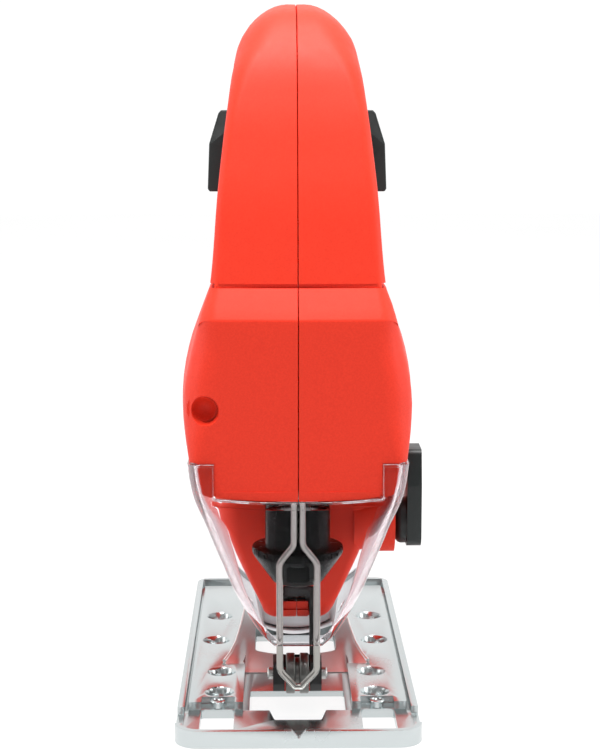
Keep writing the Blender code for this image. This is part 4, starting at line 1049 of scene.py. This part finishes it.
def make_sole():
    steel = MATS["plated_steel"]
    corners = ((-35.0, -58.0, 7.0), (35.0, -58.0, 7.0), (35.0, 102.0, 5.0), (-35.0, 102.0, 5.0))
    sole = prism("pressed_sole", fillet(corners), "Z", 0.0, 5.0, steel)
    top = (SOLE_FLOOR, 9.0)
    shallow = (2.7, 9.0)
    front = ((-33.0, -56.0, 5.0), (33.0, -56.0, 5.0), (33.0, -33.5, 0.0), (-33.0, -33.5, 0.0))
    blade = (
        (-14.2, -15.0, 1.0), (14.2, -15.0, 1.0), (14.2, -34.0, 1.0), (8.4, -34.0, 1.2),
        (6.8, -42.5, 0.8), (-6.8, -42.5, 0.8), (-8.4, -34.0, 1.2), (-14.2, -34.0, 1.0),
    )
    rear = ((-13.0, 16.7, 1.2), (13.0, 16.7, 1.2), (13.0, 40.2, 1.2), (-13.0, 40.2, 1.2))
    notch = ((-2.9, 6.0, 0.0), (0.0, 2.7, 0.3), (2.9, 6.0, 0.0))
    cut(
        sole,
        prism("pocket", fillet(front), "Z", shallow[0], shallow[1], steel),
        box("pocket", (-16.0, 16.0), (-34.5, 100.0), top, steel),
        box("pocket", (-33.0, 33.0), (91.0, 100.0), top, steel),
        box("slot", (-40.0, 40.0), (-50.8, -37.6), shallow, steel),
        prism("blade_hole", fillet(blade), "Z", -2.0, 9.0, steel),
        prism("rear_hole", fillet(rear), "Z", -2.0, 9.0, steel),
        seat_loft("seat", True, steel),
        prism("notch", fillet(notch), "Y", -60.0, -55.0, steel),
    )
    for side in (-1.0, 1.0):
        low, high = sorted((side * 32.0, side * 33.0))
        cut(sole, box("valley", (low, high), (-34.5, 100.0), top, steel))
        low, high = sorted((side * 17.6, side * 30.4))
        cut(sole, box("under", (low, high), (-14.0, 89.4), (-2.0, 3.4), steel))
        for x, y in STRIP_HOLES[1:]:
            join(sole, prism("collar", circle(side * x, y, 5.2, 48), "Z", 0.4, 4.0, steel))
        low, high = sorted((side * 18.5, side * 28.3))
        square = ((low, -52.0, 1.0), (high, -52.0, 1.0), (high, -33.6, 1.0), (low, -33.6, 1.0))
        cut(sole, prism("square", fillet(square), "Z", -2.0, 9.0, steel))
        cut(sole, box("recess", (low, high), (-34.0, -28.9), shallow, steel))
        for x, y in STRIP_HOLES:
            profile = ((3.3, -2.0), (3.3, 1.0), (3.6, 4.0), (4.5, 5.1), (4.5, 9.0))
            cut(sole, lathe("hole", profile, "Z", (side * x, y), steel, 48))
    soften(sole, 30.0, 0.4, 3, 40.0)
    stand_for(sole, "sole", "plated_steel", "sole_plate")
    for name, side, node in (
        ("sole_screw_left", 1.0, "fence_screw_left"),
        ("sole_screw_right", -1.0, "fence_screw_right"),
    ):
        profile = ((0.0, 2.2), (2.1, 2.2), (2.1, 3.9), (2.3, 4.0), (2.3, 4.5), (2.1, 4.75), (1.6, 4.85),
                   (1.4, 4.5), (0.0, 4.5))
        screw = lathe(name, profile, "Z", (side * 23.4, -31.2), steel, 40)
        cut(screw, box("slot", (side * 23.4 - 3.0, side * 23.4 + 3.0), (-31.55, -30.85), (4.0, 6.0), steel))
        soften(screw, 30.0)
        stand_for(screw, "sole", "plated_steel", node)
    saddle = seat_loft("curved_seat", False, MATS["satin_zinc"])
    cut(saddle, prism("hole", fillet(rear), "Z", -2.0, 20.0, steel))
    for side in (-1.0, 1.0):
        ridge = [(side * (edge + 0.4), max(y, 2.6), rise - 0.2) for y, edge, rise in SEAT_STATIONS[:-1]]
        ridge.append((side * 16.8, 69.9, 10.4))
        join(saddle, rod("ridge", round_path(ridge, 4.0), 0.55, MATS["satin_zinc"], 12))
    soften(saddle, 30.0, 0.08, 2, 50.0)
    stand_for(saddle, "sole", "plated_steel", "sole_saddle")


def make_bracket():
    alloy = MATS["cast_aluminium"]
    reach = math.asin(12.0 / TILT_R)
    outline = [(12.0, 42.6), (-12.0, 42.6)]
    for k in range(25):
        a = -math.pi / 2 - reach + 2 * reach * k / 24
        outline.append((TILT_R * math.cos(a), TILT_Z + TILT_R * math.sin(a)))
    foot = prism("tilt_foot", outline, "Y", 42.5, 70.0, alloy)
    soften(foot, 30.0, 0.5, 3, 40.0)
    stand_for(foot, "housing", "cast_aluminium", "shoe_bracket")


# ------------------------------------------------------------------ studio
def look(obj, target):
    direction = Vector(target) * MM - obj.location
    obj.rotation_euler = direction.to_track_quat("-Z", "Y").to_euler()


def area(name, location, target, size, power, colour=(1.0, 1.0, 1.0)):
    data = bpy.data.lights.new(name, "AREA")
    data.shape = "RECTANGLE"
    data.size = size[0] * MM
    data.size_y = size[1] * MM
    data.energy = power
    data.color = colour
    lamp = bpy.data.objects.new(name, data)
    lamp.location = Vector(location) * MM
    bpy.context.scene.collection.objects.link(lamp)
    look(lamp, target)
    return lamp


def make_world():
    """White behind the tool, greyer where the camera stands."""
    world = bpy.data.worlds.new("studio")
    world.use_nodes = True
    tree = world.node_tree
    coord = tree.nodes.new("ShaderNodeTexCoord")
    split = tree.nodes.new("ShaderNodeSeparateXYZ")
    spread = tree.nodes.new("ShaderNodeMapRange")
    spread.interpolation_type = "SMOOTHSTEP"
    spread.inputs["From Min"].default_value = -0.35
    spread.inputs["From Max"].default_value = 0.55
    spread.inputs["To Min"].default_value = 0.26
    spread.inputs["To Max"].default_value = 1.06
    shade = tree.nodes["Background"]
    shade.inputs["Color"].default_value = (1.0, 1.0, 1.0, 1.0)
    tree.links.new(coord.outputs["Generated"], split.inputs["Vector"])
    tree.links.new(split.outputs["Y"], spread.inputs["Value"])
    ceiling = tree.nodes.new("ShaderNodeMapRange")
    ceiling.interpolation_type = "SMOOTHSTEP"
    ceiling.inputs["From Min"].default_value = 0.5
    ceiling.inputs["From Max"].default_value = 0.9
    ceiling.inputs["To Max"].default_value = 0.5
    total = tree.nodes.new("ShaderNodeMath")
    tree.links.new(split.outputs["Z"], ceiling.inputs["Value"])
    tree.links.new(spread.outputs["Result"], total.inputs[0])
    tree.links.new(ceiling.outputs["Result"], total.inputs[1])
    tree.links.new(total.outputs["Value"], shade.inputs["Strength"])
    bpy.context.scene.world = world


def make_floor():
    n = Nodes("studio_floor")
    n.link(n.mix(n.noise(3.0, 2.0), (0.15, 0.15, 0.15), (0.17, 0.17, 0.17)), n.shader.inputs["Base Color"])
    n.shader.inputs["Roughness"].default_value = 0.9
    n.shader.inputs["Specular IOR Level"].default_value = 0.0
    n.shader.inputs["Emission Color"].default_value = (1.0, 1.0, 1.0, 1.0)
    n.shader.inputs["Emission Strength"].default_value = 0.86
    floor = box("studio_floor", (-3000.0, 3000.0), (-2500.0, 2600.0), (-2.0, 0.0), n.mat)


def make_camera():
    """Front view from a little above, as the tool stands on its sole."""
    data = bpy.data.cameras.new("camera")
    data.lens = CAMERA_LENS
    data.clip_start = 0.01
    data.sensor_width = 36.0
    camera = bpy.data.objects.new("camera", data)
    camera.location = Vector(CAMERA_AT) * MM
    camera.rotation_euler = (math.radians(90.0 - CAMERA_PITCH), 0.0, math.radians(CAMERA_YAW))
    bpy.context.scene.collection.objects.link(camera)
    bpy.context.scene.camera = camera


make_housing()
make_screws()
make_shield()
make_guard()
make_clamp()
make_pendulum()
make_selector()
make_buttons()
make_trigger()
make_gland()
make_sole()
make_bracket()
make_world()
make_floor()
make_camera()
area("top_light", (0.0, -140.0, 760.0), (0.0, 0.0, 90.0), (560.0, 420.0), 8.8)
area("left_light", (-620.0, -60.0, 260.0), (0.0, 0.0, 100.0), (260.0, 520.0), 1.0)
area("right_light", (620.0, -60.0, 260.0), (0.0, 0.0, 100.0), (260.0, 520.0), 1.4)
area("left_strip", (-420.0, -640.0, 230.0), (0.0, 0.0, 60.0), (110.0, 520.0), 0.12)
area("right_strip", (420.0, -640.0, 230.0), (0.0, 0.0, 60.0), (110.0, 520.0), 0.12)
bpy.context.scene.view_settings.view_transform = "Standard"
